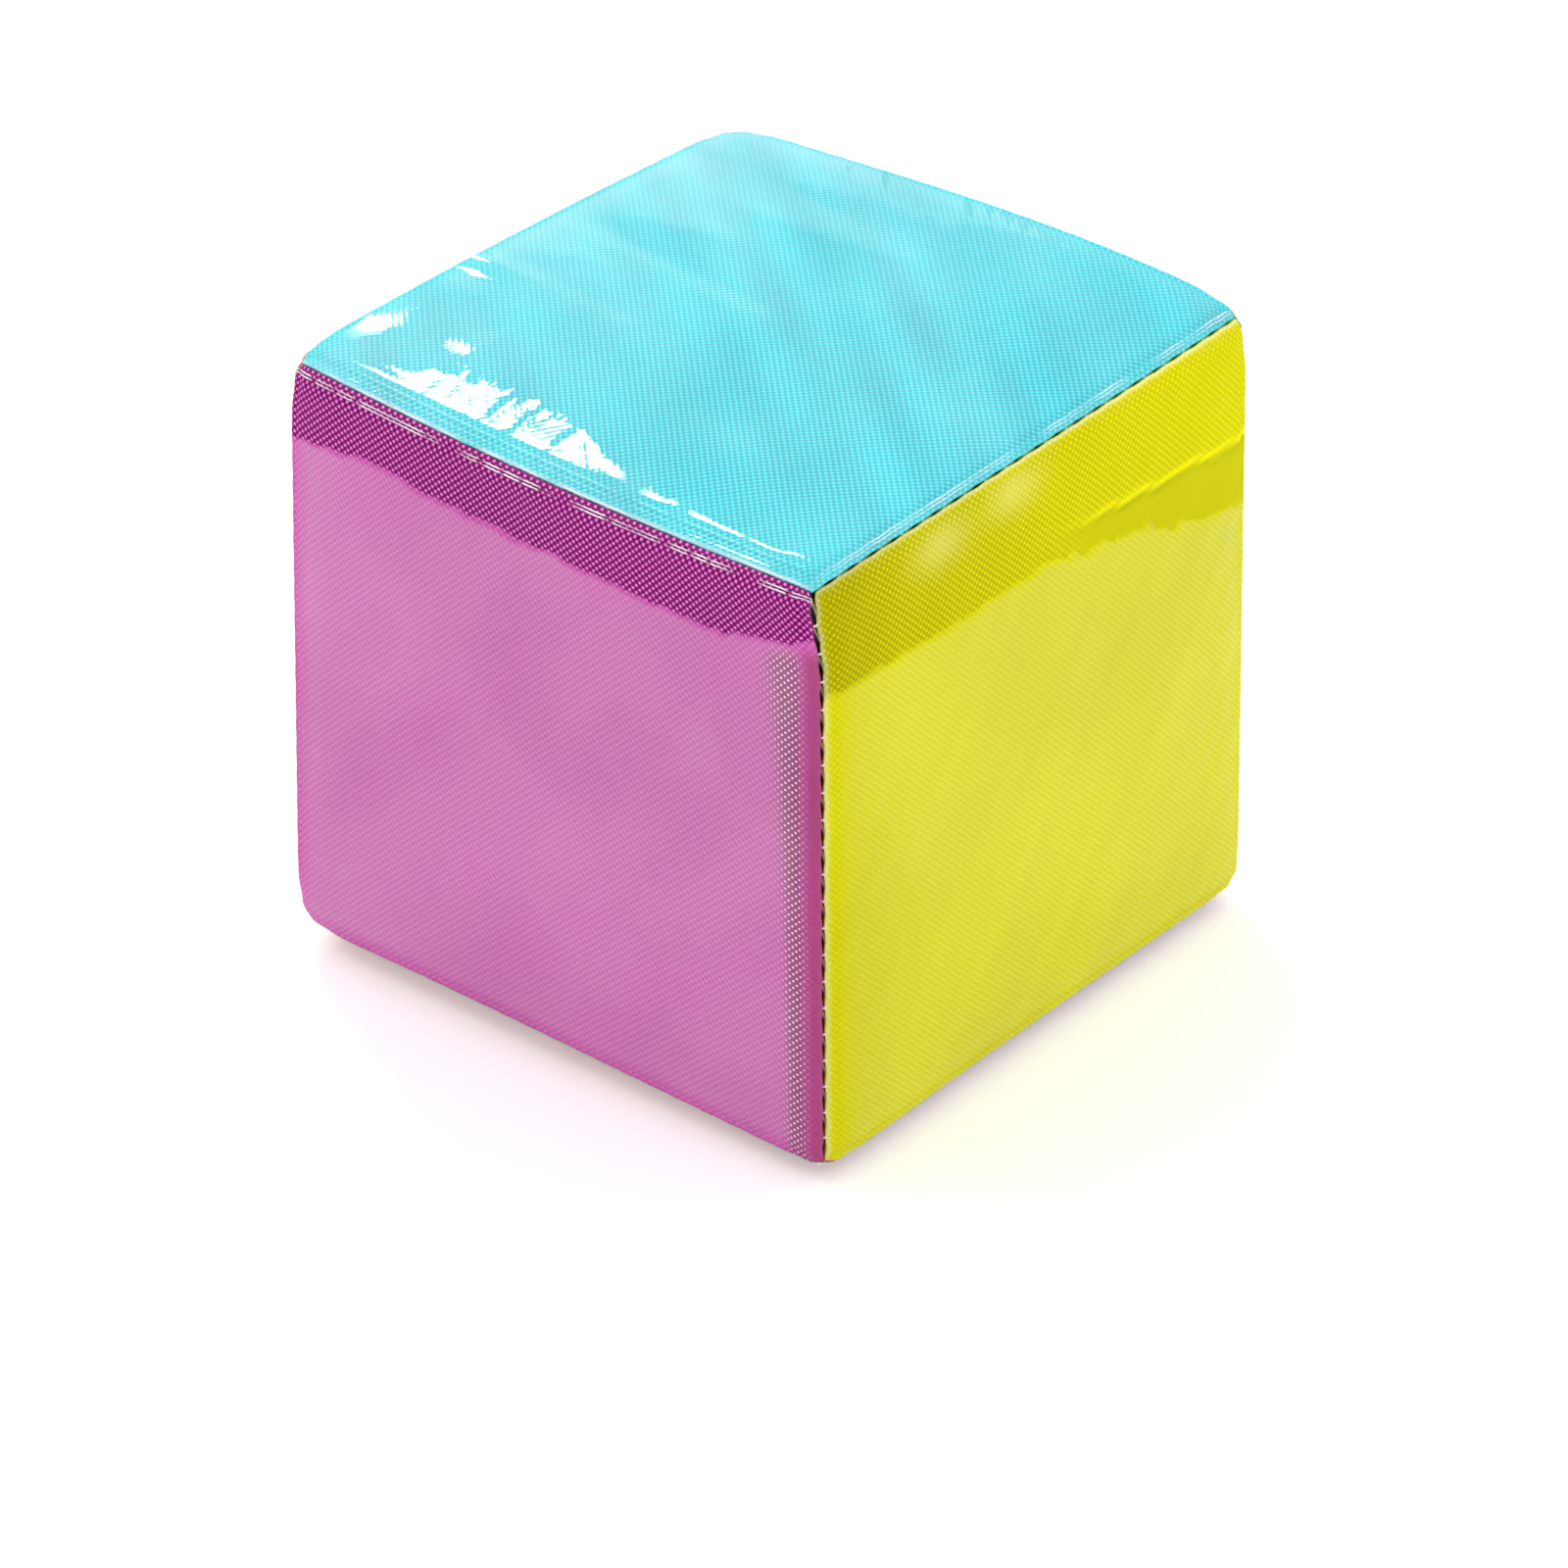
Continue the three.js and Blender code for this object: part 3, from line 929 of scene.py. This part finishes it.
class DICE_OT_fabric_panels(bpy.types.Operator):
    """Makes the six cover panels, each woven in its own colour"""

    bl_idname = "pocket_dice.fabric_panels"
    bl_label = "Fabric panels"

    def execute(self, context):
        sizes = context.scene.dice_sizes
        form = Form(sizes)
        for face in FACES:
            swatch = SWATCHES[face.name]
            rgb = getattr(context.scene.dice_colours, face.name)
            piece = fabric_panel(form, face, fabric_material(swatch, rgb, sizes.thread_pitch))
            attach(piece, "cube")
            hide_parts(f"fabric_panel_{face.name}")
        return {"FINISHED"}


# Pocket windows

CREASE_FACE = "right"
CREASE_START = (4 * MM, 33.0 * MM)
CREASE_END = (47 * MM, 28.8 * MM)
# Painted highlights, soft pale spots in that film beside its mouth: place across the face and distance from
# the seam
PAINTED_SHEENS = ((-22.8 * MM, 4.6 * MM), (-7 * MM, 3.6 * MM))
PAINTED_SHEEN_SIZE = (5.2 * MM, 3 * MM)
# Where the top's film stands steep enough near the front to mirror a lamp: place along the front seam, and
# the nearest and farthest distance from it, in millimetres
STEEP = (
    (-41, 5.2, 5.2), (-38, 5.0, 5.6), (-31, 4.9, 6.2), (-25, 4.3, 10), (-14, 4.8, 10.5), (-8, 4.3, 10),
    (0, 5.2, 8.8), (5, 4.0, 6.6), (11, 3.2, 4.4), (13, 3.6, 3.6), (17, 3.4, 3.4), (20, 3.2, 4.4),
    (23, 3.3, 3.3), (39, 3.4, 3.4), (42.5, 3.1, 5.2), (45, 3.3, 3.3),
)
STEEP_SLOPE = 0.075  # of the film where that strip begins
STEEP_GAIN = 6  # how its rise grows with the square of the way up
TORN_REACH = 1.2 * MM  # how far the strip's inner border runs in and out
SLASH_DEPTH = 0.06 * MM  # of the short dents across that border
CORNER_TILT = 0.085  # how steeply that film rises to its free edge at the near corner
CORNER_START = 39 * MM  # where that rise begins, along the front seam
CORNER_INSET = 3.4 * MM  # its distance from the front seam
# Gathers in the top's film at its closed side: place along the side, length, and height
GATHERS = (
    (33.5 * MM, 3.2 * MM, 0.3 * MM),
    (12.5 * MM, 11 * MM, 0.85 * MM),
    (-3 * MM, 28 * MM, 0.14 * MM),
    (-36 * MM, 16 * MM, 0.2 * MM),
)
# Where the top's film lies so close on the cloth that it mirrors little: place across and along the face,
# and reach in both, in millimetres
DULL = (
    (43.4, -43.5, 7, 9), (26.5, -42.5, 6, 9), (44.3, 12.6, 4.5, 3), (44.3, 21.8, 3.5, 1.7),
    (44.3, 33.5, 3, 0.9),
)
STRIP_WIDTH = 4 * MM  # of the film that lies close along a tight side, over cloth drawn darker, partly as painted shade
GATHER_WIDTH = 2.2 * MM
DASH_PITCH = 6.2 * MM  # from one gap to the next in the white line along a free edge
# How far the film lies off its plain form: inwards where it is sewn or clings, outwards where it is loose
SEWN_DEPTH = 0.32 * MM
SEWN_REACH = 9 * MM  # how far from a seam the film is drawn in
CLING_DEPTH = 0.27 * MM
LOOSE_HEIGHT = 0.12 * MM
LOOSE_UNEVENNESS = 0.11 * MM
SWELL_HEIGHT = 0.13 * MM
MOUTH_WAVE = 0.1 * MM
MOUTH_WAVE_PITCH = 4.8 * MM  # from one wave of the free edge to the next
CREASE_HEIGHT = 0.45 * MM


def crease_line(p):
    """Height of the fold in the film at each place across the face."""
    (p0, q0), (p1, q1) = CREASE_START, CREASE_END
    return q0 + (p - p0) * (q1 - q0) / (p1 - p0)


def crease(p, q):
    """A pinched fold in the film, from a soft start to a full ridge at the face's side."""
    off = q - crease_line(p) - 0.25 * MM * ripples(p, 0 * q, 5, 4, 4 * MM, 9 * MM)
    share = (p - CREASE_START[0]) / (CREASE_END[0] - CREASE_START[0])
    return np.exp(-(off / (0.55 * MM)) ** 2) * smooth(-0.1, 0.35, share)


def painted_sheens(face, p, q, side):
    """1 in the middle of a painted highlight in the film, 0 outside."""
    total = np.zeros_like(p)
    if face.name == CREASE_FACE:
        width, height = PAINTED_SHEEN_SIZE
        for across, inset in PAINTED_SHEENS:
            total += np.exp(-((p - across) / width) ** 2 - ((side - inset - q) / height) ** 2)
    return total


def bent(value, width):
    """The value where it is above zero, and zero below, with a soft bend between."""
    return (value + np.sqrt(value ** 2 + width ** 2)) / 2


def steep_rise(inset, q):
    """How far the top's film rises over its steep strip, with a torn border on the inner side."""
    place, near, far = (np.array(column) * MM for column in zip(*STEEP))
    low = np.interp(q, place, near)
    high = np.interp(q, place, far)
    border = smooth(1 * MM, 5 * MM, high - low) * np.exp(-(bent(inset - high, 0.5 * MM) / (2 * MM)) ** 2)
    torn = TORN_REACH * border * ripples(q - 0.2 * inset, 0.1 * inset, 31, 7, 1.6 * MM, 5 * MM)
    slashes = smooth(0.4, 1, ripples(q - 0.15 * inset, 0.12 * inset, 37, 6, 2.2 * MM, 6 * MM))
    run = bent(inset - low, 0.4 * MM) - bent(inset - high - torn, 0.5 * MM)
    rise = STEEP_SLOPE * run + STEEP_GAIN * run ** 2 - SLASH_DEPTH * slashes * border
    return rise * (1 - smooth(11 * MM, 30 * MM, inset))


def top_folds(p, q, side):
    """How far the top's film stands up in gathers at its closed side, and behind its steep strip."""
    total = steep_rise(side - p, q)
    near = np.exp(-((side - p - CORNER_INSET) / (3 * MM)) ** 2)
    total += CORNER_TILT * bent(q - CORNER_START, 0.6 * MM) * near
    inset = side + q
    for place, reach, height in GATHERS:
        profile = np.exp(-((p - place - 0.1 * inset) / GATHER_WIDTH) ** 2 - (inset / reach) ** 2)
        total += height * profile * smooth(1 * MM, 3.5 * MM, inset)
    return total


def sewn_edge_highlight(face, p, q, side):
    """A painted highlight: how white the top's film looks where it is bent over its front seam."""
    if face.name != "top":
        return np.zeros_like(p)
    highlight_strength = np.clip(0.75 + 0.4 * ripples(q, 0 * q, face.seed + 90, 6, 3 * MM, 14 * MM), 0, 0.95)
    return highlight_strength * np.exp(-((side - p - 0.3 * MM) / (0.15 * MM)) ** 2)


def film_veil(face, p, q, side):
    """Share of white haze in the film: in bands that run askew, and more where it mirrors little, as a
    painted reflection in place of the mirroring it loses.
    """
    share, varied, closed_side = face.veil
    bands = ripples(0.83 * p - 0.56 * q, 0.07 * p + 0.1 * q, face.seed + 30, 5, 8 * MM, 22 * MM)
    veil = share * (1 + varied * bands) + closed_side * smooth(0, side, -q)
    return np.maximum(veil, 0) * film_shine(face, p, q, side) + 0.07 * (1 - mirrored(face, p, q))


def hem_highlight_strength(face, p, beside):
    """How strong the painted highlight on the film's free edge is along its length: broken into dashes of
    uneven length.
    """
    white, loss = face.hem
    drift = 3.2 * ripples(p, 0 * p, face.seed + 60, 4, 14 * MM, 40 * MM)
    beat = np.cos(2 * math.pi * p / DASH_PITCH + drift)
    highlight_strength = 0.62 + 0.5 * ripples(p, 0 * p, face.seed + 90, 5, 6 * MM, 22 * MM)
    highlight_strength *= 1 - smooth(1 * MM, 2 * MM, beside)
    return np.clip(white * highlight_strength * (1 - loss * smooth(0.6, 0.85, beat)), 0, 1)


def window_lift(form, face, p, q, side, mouth):
    """How far the film stands off its plain form: close to the cloth where it is sewn or clings."""
    edge = np.minimum(side - np.abs(p), side + q)
    free = smooth(0, SEWN_REACH, edge)
    calm = 1
    if face.name == "top":
        free = smooth(0, 4.5 * MM, side - p) * smooth(0, SEWN_REACH, np.minimum(side + p, side + q))
        calm = smooth(11 * MM, 22 * MM, side - p)
    cling = smooth(-2 * MM, 3 * MM, cling_distance(face, side, p, q))
    loose = free * (1 - cling)
    lift = -SEWN_DEPTH * (1 - free) - CLING_DEPTH * cling * free + form.folded(edge)
    uneven = ripples(p, 0.4 * q, face.seed + 20, 7, 11 * MM, 30 * MM)
    lift += loose * (LOOSE_HEIGHT + LOOSE_UNEVENNESS * calm * uneven)
    lift += face.puff * (1 - (p / side) ** 4) * (1 - (q / side) ** 4)
    beside = side - np.abs(p)
    streaks = ripples(0.78 * q - 0.63 * p, 0.17 * p + 0.14 * q, face.seed + 40, 8, 1.8 * MM, 5 * MM)
    lift += (0.01 + 0.035 * calm) * MM * streaks * np.exp(-((beside - 8 * MM) / (6 * MM)) ** 2)
    swell = ripples(0 * p, q, face.seed + 50, 3, 18 * MM, 34 * MM)
    lift += SWELL_HEIGHT * calm * swell * np.exp(-((beside - 8 * MM) / (7 * MM)) ** 2)
    if face.name == "top":
        lift += top_folds(p, q, side)
    for across, along in ((np.abs(p), q), (-q, p)):
        lift -= form.puckered(side - across, along)
    wave = np.sin(2 * math.pi * p / MOUTH_WAVE_PITCH + ripples(p, q, face.seed, 3, 20 * MM, 40 * MM))
    lift += MOUTH_WAVE * np.exp(-(mouth - q) / (1.6 * MM)) * (1 + wave) * free
    if face.name == CREASE_FACE:
        lift += CREASE_HEIGHT * crease(p, q)
    return lift


def film_shine(face, p, q, side):
    """How strongly loose film shows: little where it is sewn tight, except along the top's front edge."""
    edge = np.minimum(side - np.abs(p), side + q)
    if face.name == "top":
        edge = np.minimum(side + p, side + q)
    return face.shine * (0.12 + 0.88 * smooth(1.5 * MM, 6 * MM, edge))


def mirrored(face, p, q):
    """Share of its mirroring that the film keeps, which is little where it lies close on the cloth."""
    share = np.ones_like(p)
    if face.name == "top":
        for across, along, width, height in np.array(DULL) * MM:
            share *= 1 - np.exp(-(((p - across) / width) ** 2 + ((q - along) / height) ** 2) ** 2)
    return share


def window_weights(p, q, side, mouth):
    """How much of the opening a point follows: nothing where it is sewn, all at the mouth's middle."""
    along = smooth(-side, mouth, q)
    across = np.clip(1 - (p / side) ** 2, 0, 1)
    return along * across


def pocket_window(form, face, film, cut_edge):
    """One pocket window, sewn on three sides and short of the fourth."""
    radius = form.film_radius
    side = form.reach(radius)
    mouth = side - form.sizes.mouth_setback + face.drawn
    columns = graded(-side, side, 11 * MM, 0.3 * MM, 0.7 * MM)
    rows = graded(-side, mouth, 6 * MM, 0.3 * MM, 0.7 * MM)
    p, q = np.meshgrid(columns, rows, indexing="ij")
    points, out = form.layer(radius, *form.drawn_back(face, p, q, side))
    points += out * window_lift(form, face, p, q, side, mouth)[..., None]
    uv = np.stack([p.ravel(), q.ravel()], -1)
    values = {
        CLING: cling_distance(face, side, p, q).ravel(),
        # painted highlights: the soft pale spots, and the line along the top's front fold
        PAINTED_HIGHLIGHT: (0.1 * painted_sheens(face, p, q, side) + sewn_edge_highlight(face, p, q, side)).ravel(),
        VEIL: film_veil(face, p, q, side).ravel(),
        SHINE: (film_shine(face, p, q, side) * mirrored(face, p, q)).ravel(),
        # painted highlight along the free edge
        HEM_HIGHLIGHT: hem_highlight_strength(face, p, mouth - q).ravel(),
        BESIDE: (mouth - q).ravel(),
        LIFT_SHARE: window_weights(p, q, side, mouth).ravel(),
    }
    points = form.on_face(face, points.reshape(-1, 3))
    piece = new_piece(f"{face.name}_window", points, grid_faces(len(columns), len(rows)), uv, values)
    piece.data.materials.append(film)
    piece.data.materials.append(cut_edge)
    thicken(piece, form.sizes.film_thickness)
    return piece


def follow_mouth(piece):
    """Bakes a window's place into its mesh, and reads how much of the opening each of its points follows."""
    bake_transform(piece)
    share = piece.data.attributes[LIFT_SHARE]
    weights = np.zeros(len(piece.data.vertices), np.float32)
    share.data.foreach_get("value", weights)


class DICE_OT_pocket_windows(bpy.types.Operator):
    """Makes the six clear windows, each with a free edge for a card"""

    bl_idname = "pocket_dice.pocket_windows"
    bl_label = "Pocket windows"

    def execute(self, context):
        sizes = context.scene.dice_sizes
        form = Form(sizes)
        film = film_material(sizes.thread_pitch)
        cut_edge = film_edge_material(context.scene.dice_colours.film_edge)
        for face in FACES:
            piece = pocket_window(form, face, film, cut_edge)
            if f"{face.name}_window" in frame["bodies"]:
                follow_mouth(piece)
            else:
                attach(piece, "cube")
            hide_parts(f"pocket_window_{face.name}")
        return {"FINISHED"}


# Seam threads

STEPS_PER_STITCH = 14
STITCH_DEPTH = 1.3 * MM
STITCH_OVERLAP = 0.3 * MM  # how far a stitch reaches past the seam's gap, each side
# A thread's height over its panels' edges, and its step towards the first of them
THREAD_PLACE = (-0.15 * MM, 0)
NEAR_THREAD_PLACE = (0.05 * MM, -0.12 * MM)


def lacing_tree(material):
    """Geometry nodes for one seam's thread: an unbroken tube that whips over and under along X."""
    tree = bpy.data.node_groups.new("seam_lacing", "GeometryNodeTree")
    sockets = (("Stitches", "NodeSocketInt"), ("Pitch", "NodeSocketFloat"), ("Reach", "NodeSocketFloat"),
               ("Depth", "NodeSocketFloat"), ("Diameter", "NodeSocketFloat"), ("Seed", "NodeSocketInt"))
    for name, kind in sockets:
        tree.interface.new_socket(name, in_out="INPUT", socket_type=kind)
    tree.interface.new_socket("Geometry", in_out="OUTPUT", socket_type="NodeSocketGeometry")
    board = NodeBoard(tree)
    given = board.add("NodeGroupInput").outputs
    points = board.math("MULTIPLY_ADD", given["Stitches"], float(STEPS_PER_STITCH), 1.0)
    line = board.add("GeometryNodeMeshLine", {"Count": points}).outputs[0]
    step = board.add("GeometryNodeInputIndex").outputs[0]
    turn = board.math("MULTIPLY", step, 2 * math.pi / STEPS_PER_STITCH)
    stitch = board.math("FLOOR", board.math("DIVIDE", step, float(STEPS_PER_STITCH)))
    inputs = {"Min": 0.9, "Max": 1.1, "ID": stitch, "Seed": given["Seed"]}
    loose = board.add("FunctionNodeRandomValue", inputs).outputs["Value"]
    cosine, sine = board.math("COSINE", turn), board.math("SINE", turn)
    quick_crossing = board.math("MULTIPLY_ADD", cosine, 0.8, turn)
    x = board.math("MULTIPLY", quick_crossing, board.math("DIVIDE", given["Pitch"], 2 * math.pi))
    y = board.math("MULTIPLY", board.math("MULTIPLY", cosine, given["Reach"]), loose)
    z = board.math("MULTIPLY", board.math("SUBTRACT", sine, 1.0), board.math("DIVIDE", given["Depth"], 2.0))
    place = board.add("ShaderNodeCombineXYZ", {"X": x, "Y": y, "Z": z}).outputs[0]
    route = board.add("GeometryNodeSetPosition", {"Geometry": line, "Position": place}).outputs[0]
    curve = board.add("GeometryNodeMeshToCurve", {"Mesh": route}).outputs[0]
    radius = board.math("DIVIDE", given["Diameter"], 2.0)
    section = board.add("GeometryNodeCurvePrimitiveCircle", {"Resolution": 7, "Radius": radius}).outputs[0]
    inputs = {"Curve": curve, "Profile Curve": section, "Fill Caps": True}
    tube = board.add("GeometryNodeCurveToMesh", inputs).outputs[0]
    shaded = board.add("GeometryNodeSetShadeSmooth", {"Geometry": tube}).outputs[0]
    real = board.add("GeometryNodeRealizeInstances", {"Geometry": shaded}).outputs[0]
    dressed = board.add("GeometryNodeSetMaterial", {"Geometry": real, "Material": material}).outputs[0]
    board.add("NodeGroupOutput", {"Geometry": dressed})
    return tree


def run_tree(name, tree, values):
    """An object that holds what a geometry node tree makes of its named inputs, as a plain mesh."""
    obj = bpy.data.objects.new(name, bpy.data.meshes.new(name))
    bpy.context.scene.collection.objects.link(obj)
    modifier = obj.modifiers.new("nodes", "NODES")
    modifier.node_group = tree
    for item in tree.interface.items_tree:
        if item.in_out == "INPUT":
            modifier[item.identifier] = values[item.name]
    apply_modifiers(obj)
    return obj


def seams():
    """Each pair of faces that meet, with axes along the seam, across it and outwards."""
    for i, first in enumerate(FACES):
        for second in FACES[i + 1:]:
            a, b = Vector(first.normal), Vector(second.normal)
            if abs(a.dot(b)) < 0.5:
                axes = (a.cross(b), (a - b).normalized(), (a + b).normalized())
                yield first.name, second.name, axes


class DICE_OT_seam_threads(bpy.types.Operator):
    """Laces the twelve seams, one thread along each edge"""

    bl_idname = "pocket_dice.seam_threads"
    bl_label = "Seam threads"

    def execute(self, context):
        sizes = context.scene.dice_sizes
        form = Form(sizes)
        tree = lacing_tree(thread_material(context.scene.dice_colours.thread))
        crest = form.core * math.sqrt(2) + form.fabric_radius
        for number, (first, second, axes) in enumerate(seams()):
            name = f"{first}_{second}"
            thread = run_tree(f"{name}_lacing", tree, {
                "Stitches": sizes.stitches, "Pitch": form.stitch_pitch,
                "Reach": seam_gap(first, second)[0] / 2 + STITCH_OVERLAP, "Depth": STITCH_DEPTH,
                "Diameter": sizes.thread_diameter, "Seed": number,
            })
            turn = Matrix([list(axis) for axis in axes]).transposed().to_4x4()
            height, across = NEAR_THREAD_PLACE if {first, second} == NEAR_SEAM else THREAD_PLACE
            start = Vector((form.stitch_pitch / 4 - form.core, across, crest + height))
            thread.data.transform(Matrix.Translation(form.centre) @ turn @ Matrix.Translation(start))
            settle_mesh(thread.data, form)
            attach(thread, "cube")
            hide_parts(f"seam_thread_{name}")
        return {"FINISHED"}


# Stage

FLOOR_REACH = 4.0
FLOOR_DROP = 0.3 * MM  # from the die's foot to the floor
# The lamps: name, direction from the die, distance, size, and brightness in a reflection
SOFTBOXES = (
    ("back_softbox", (-0.545, 0.267, 0.792), 1.2, 0.13, 34.0),
    ("front_softbox", (-0.555, -0.375, 0.745), 1.3, 0.30, 5.0),
    ("side_softbox", (-0.68, 0.66, 0.32), 1.2, 0.45, 0.7),
    ("edge_softbox", (-0.71, 0.50, 0.50), 1.2, 0.14, 30.0),
    ("rim_softbox", (0.52, 0.65, 0.56), 1.2, 0.24, 3.0),
)


def white_for_view(board):
    """1 for rays that look at the background, straight, mirrored or through a clear layer."""
    path = board.add("ShaderNodeLightPath").outputs
    seen = board.math("MAXIMUM", path["Is Camera Ray"], path["Is Glossy Ray"])
    return board.math("MAXIMUM", seen, path["Is Transmission Ray"])


def add_floor():
    """A wide pale floor that keeps the die's shadow."""
    reach = FLOOR_REACH
    mesh = bpy.data.meshes.new("floor")
    corners = [(-reach, -reach, 0), (reach, -reach, 0), (reach, reach, 0), (-reach, reach, 0)]
    mesh.from_pydata(corners, [], [(0, 1, 2, 3)])
    mesh.transform(Matrix.Translation((0, 0, CAD_LOW.z - FLOOR_DROP)))
    material, board = new_material("pale_floor")
    matt = board.add("ShaderNodeBsdfDiffuse", {"Color": (0.86, 0.86, 0.86, 1)}).outputs[0]
    lift = board.math("MULTIPLY", white_for_view(board), 0.3)
    glow = board.add("ShaderNodeEmission", {"Strength": lift}).outputs[0]
    board.finish(board.add("ShaderNodeAddShader", {0: matt, 1: glow}).outputs[0])
    mesh.materials.append(material)
    floor = bpy.data.objects.new("floor", mesh)
    bpy.context.scene.collection.objects.link(floor)


def add_world(level):
    """Even light from all round, in front of a white background."""
    world = bpy.data.worlds.new("studio")
    world.use_nodes = True
    board = NodeBoard(world.node_tree)
    strength = board.ramp(white_for_view(board), 0, 1, level, 1.0)
    sky = board.add("ShaderNodeBackground", {"Color": (1, 1, 1, 1), "Strength": strength}).outputs[0]
    output = board.add("ShaderNodeOutputWorld")
    board.tree.links.new(sky, output.inputs["Surface"])
    bpy.context.scene.world = world


def add_softbox(name, direction, target, distance, size, brightness):
    """A square lamp that shines on the die, as bright as given wherever it is seen in a reflection."""
    lamp = bpy.data.lights.new(name, "AREA")
    lamp.shape = "SQUARE"
    lamp.size = size
    lamp.energy = brightness * math.pi * size ** 2
    obj = bpy.data.objects.new(name, lamp)
    away = Vector(direction).normalized()
    obj.location = target + away * distance
    obj.rotation_mode = "QUATERNION"
    obj.rotation_quaternion = away.to_track_quat("Z", "Y")
    obj.visible_camera = False
    bpy.context.scene.collection.objects.link(obj)


def add_camera(studio, target):
    """The camera at the photograph's viewing angle."""
    a, e, roll = studio.azimuth, studio.elevation, studio.roll
    back = Vector((math.sin(a) * math.cos(e), -math.cos(a) * math.cos(e), math.sin(e)))
    level = Vector((math.cos(a), math.sin(a), 0))
    upright = back.cross(level)
    right = level * math.cos(roll) + upright * math.sin(roll)
    up = upright * math.cos(roll) - level * math.sin(roll)
    lens = bpy.data.cameras.new("camera")
    lens.lens = studio.lens
    lens.sensor_width = 36
    lens.clip_start = 0.01
    camera = bpy.data.objects.new("camera", lens)
    camera.rotation_mode = "QUATERNION"
    camera.rotation_quaternion = Matrix((right, up, back)).transposed().to_quaternion()
    camera.location = target + back * studio.distance + right * studio.sideways - up * studio.drop
    bpy.context.scene.collection.objects.link(camera)
    bpy.context.scene.camera = camera


class DICE_OT_stage(bpy.types.Operator):
    """Sets up the pale floor, the soft lights and the camera"""

    bl_idname = "pocket_dice.stage"
    bl_label = "Stage"

    def execute(self, context):
        studio = context.scene.dice_studio
        target = Form(context.scene.dice_sizes).centre
        add_floor()
        add_world(studio.room_light)
        for name, direction, distance, size, brightness in SOFTBOXES:
            add_softbox(name, direction, target, distance, size, brightness)
        add_camera(studio, target)
        context.scene.view_settings.view_transform = "Standard"
        return {"FINISHED"}


# Add-on

OPERATORS = (
    DICE_OT_stage,
    DICE_OT_foam_core,
    DICE_OT_fabric_panels,
    DICE_OT_pocket_windows,
    DICE_OT_seam_threads,
)


class DICE_PT_sidebar(bpy.types.Panel):
    """Lists the steps that build the die"""

    bl_idname = "DICE_PT_sidebar"
    bl_label = "Pocket Dice"
    bl_space_type = "VIEW_3D"
    bl_region_type = "UI"
    bl_category = "Pocket Dice"

    def draw(self, context):
        for settings in (context.scene.dice_sizes, context.scene.dice_colours, context.scene.dice_studio):
            column = self.layout.column(align=True)
            for key in settings.__annotations__:
                column.prop(settings, key)
        for operator in OPERATORS:
            self.layout.operator(operator.bl_idname)


CLASSES = (DieSizes, DieColours, StudioSettings, *OPERATORS, DICE_PT_sidebar)


def register():
    """Makes the settings, the steps and the sidebar panel known."""
    for item in CLASSES:
        bpy.utils.register_class(item)
    bpy.types.Scene.dice_sizes = bpy.props.PointerProperty(type=DieSizes)
    bpy.types.Scene.dice_colours = bpy.props.PointerProperty(type=DieColours)
    bpy.types.Scene.dice_studio = bpy.props.PointerProperty(type=StudioSettings)


def unregister():
    """Takes away what register made known."""
    del bpy.types.Scene.dice_studio
    del bpy.types.Scene.dice_colours
    del bpy.types.Scene.dice_sizes
    for item in reversed(CLASSES):
        bpy.utils.unregister_class(item)


def main():
    """Builds the die step by step."""
    register()
    bpy.ops.pocket_dice.stage()
    bpy.ops.pocket_dice.foam_core()
    bpy.ops.pocket_dice.fabric_panels()
    bpy.ops.pocket_dice.pocket_windows()
    bpy.ops.pocket_dice.seam_threads()


if __name__ == "__main__":
    main()
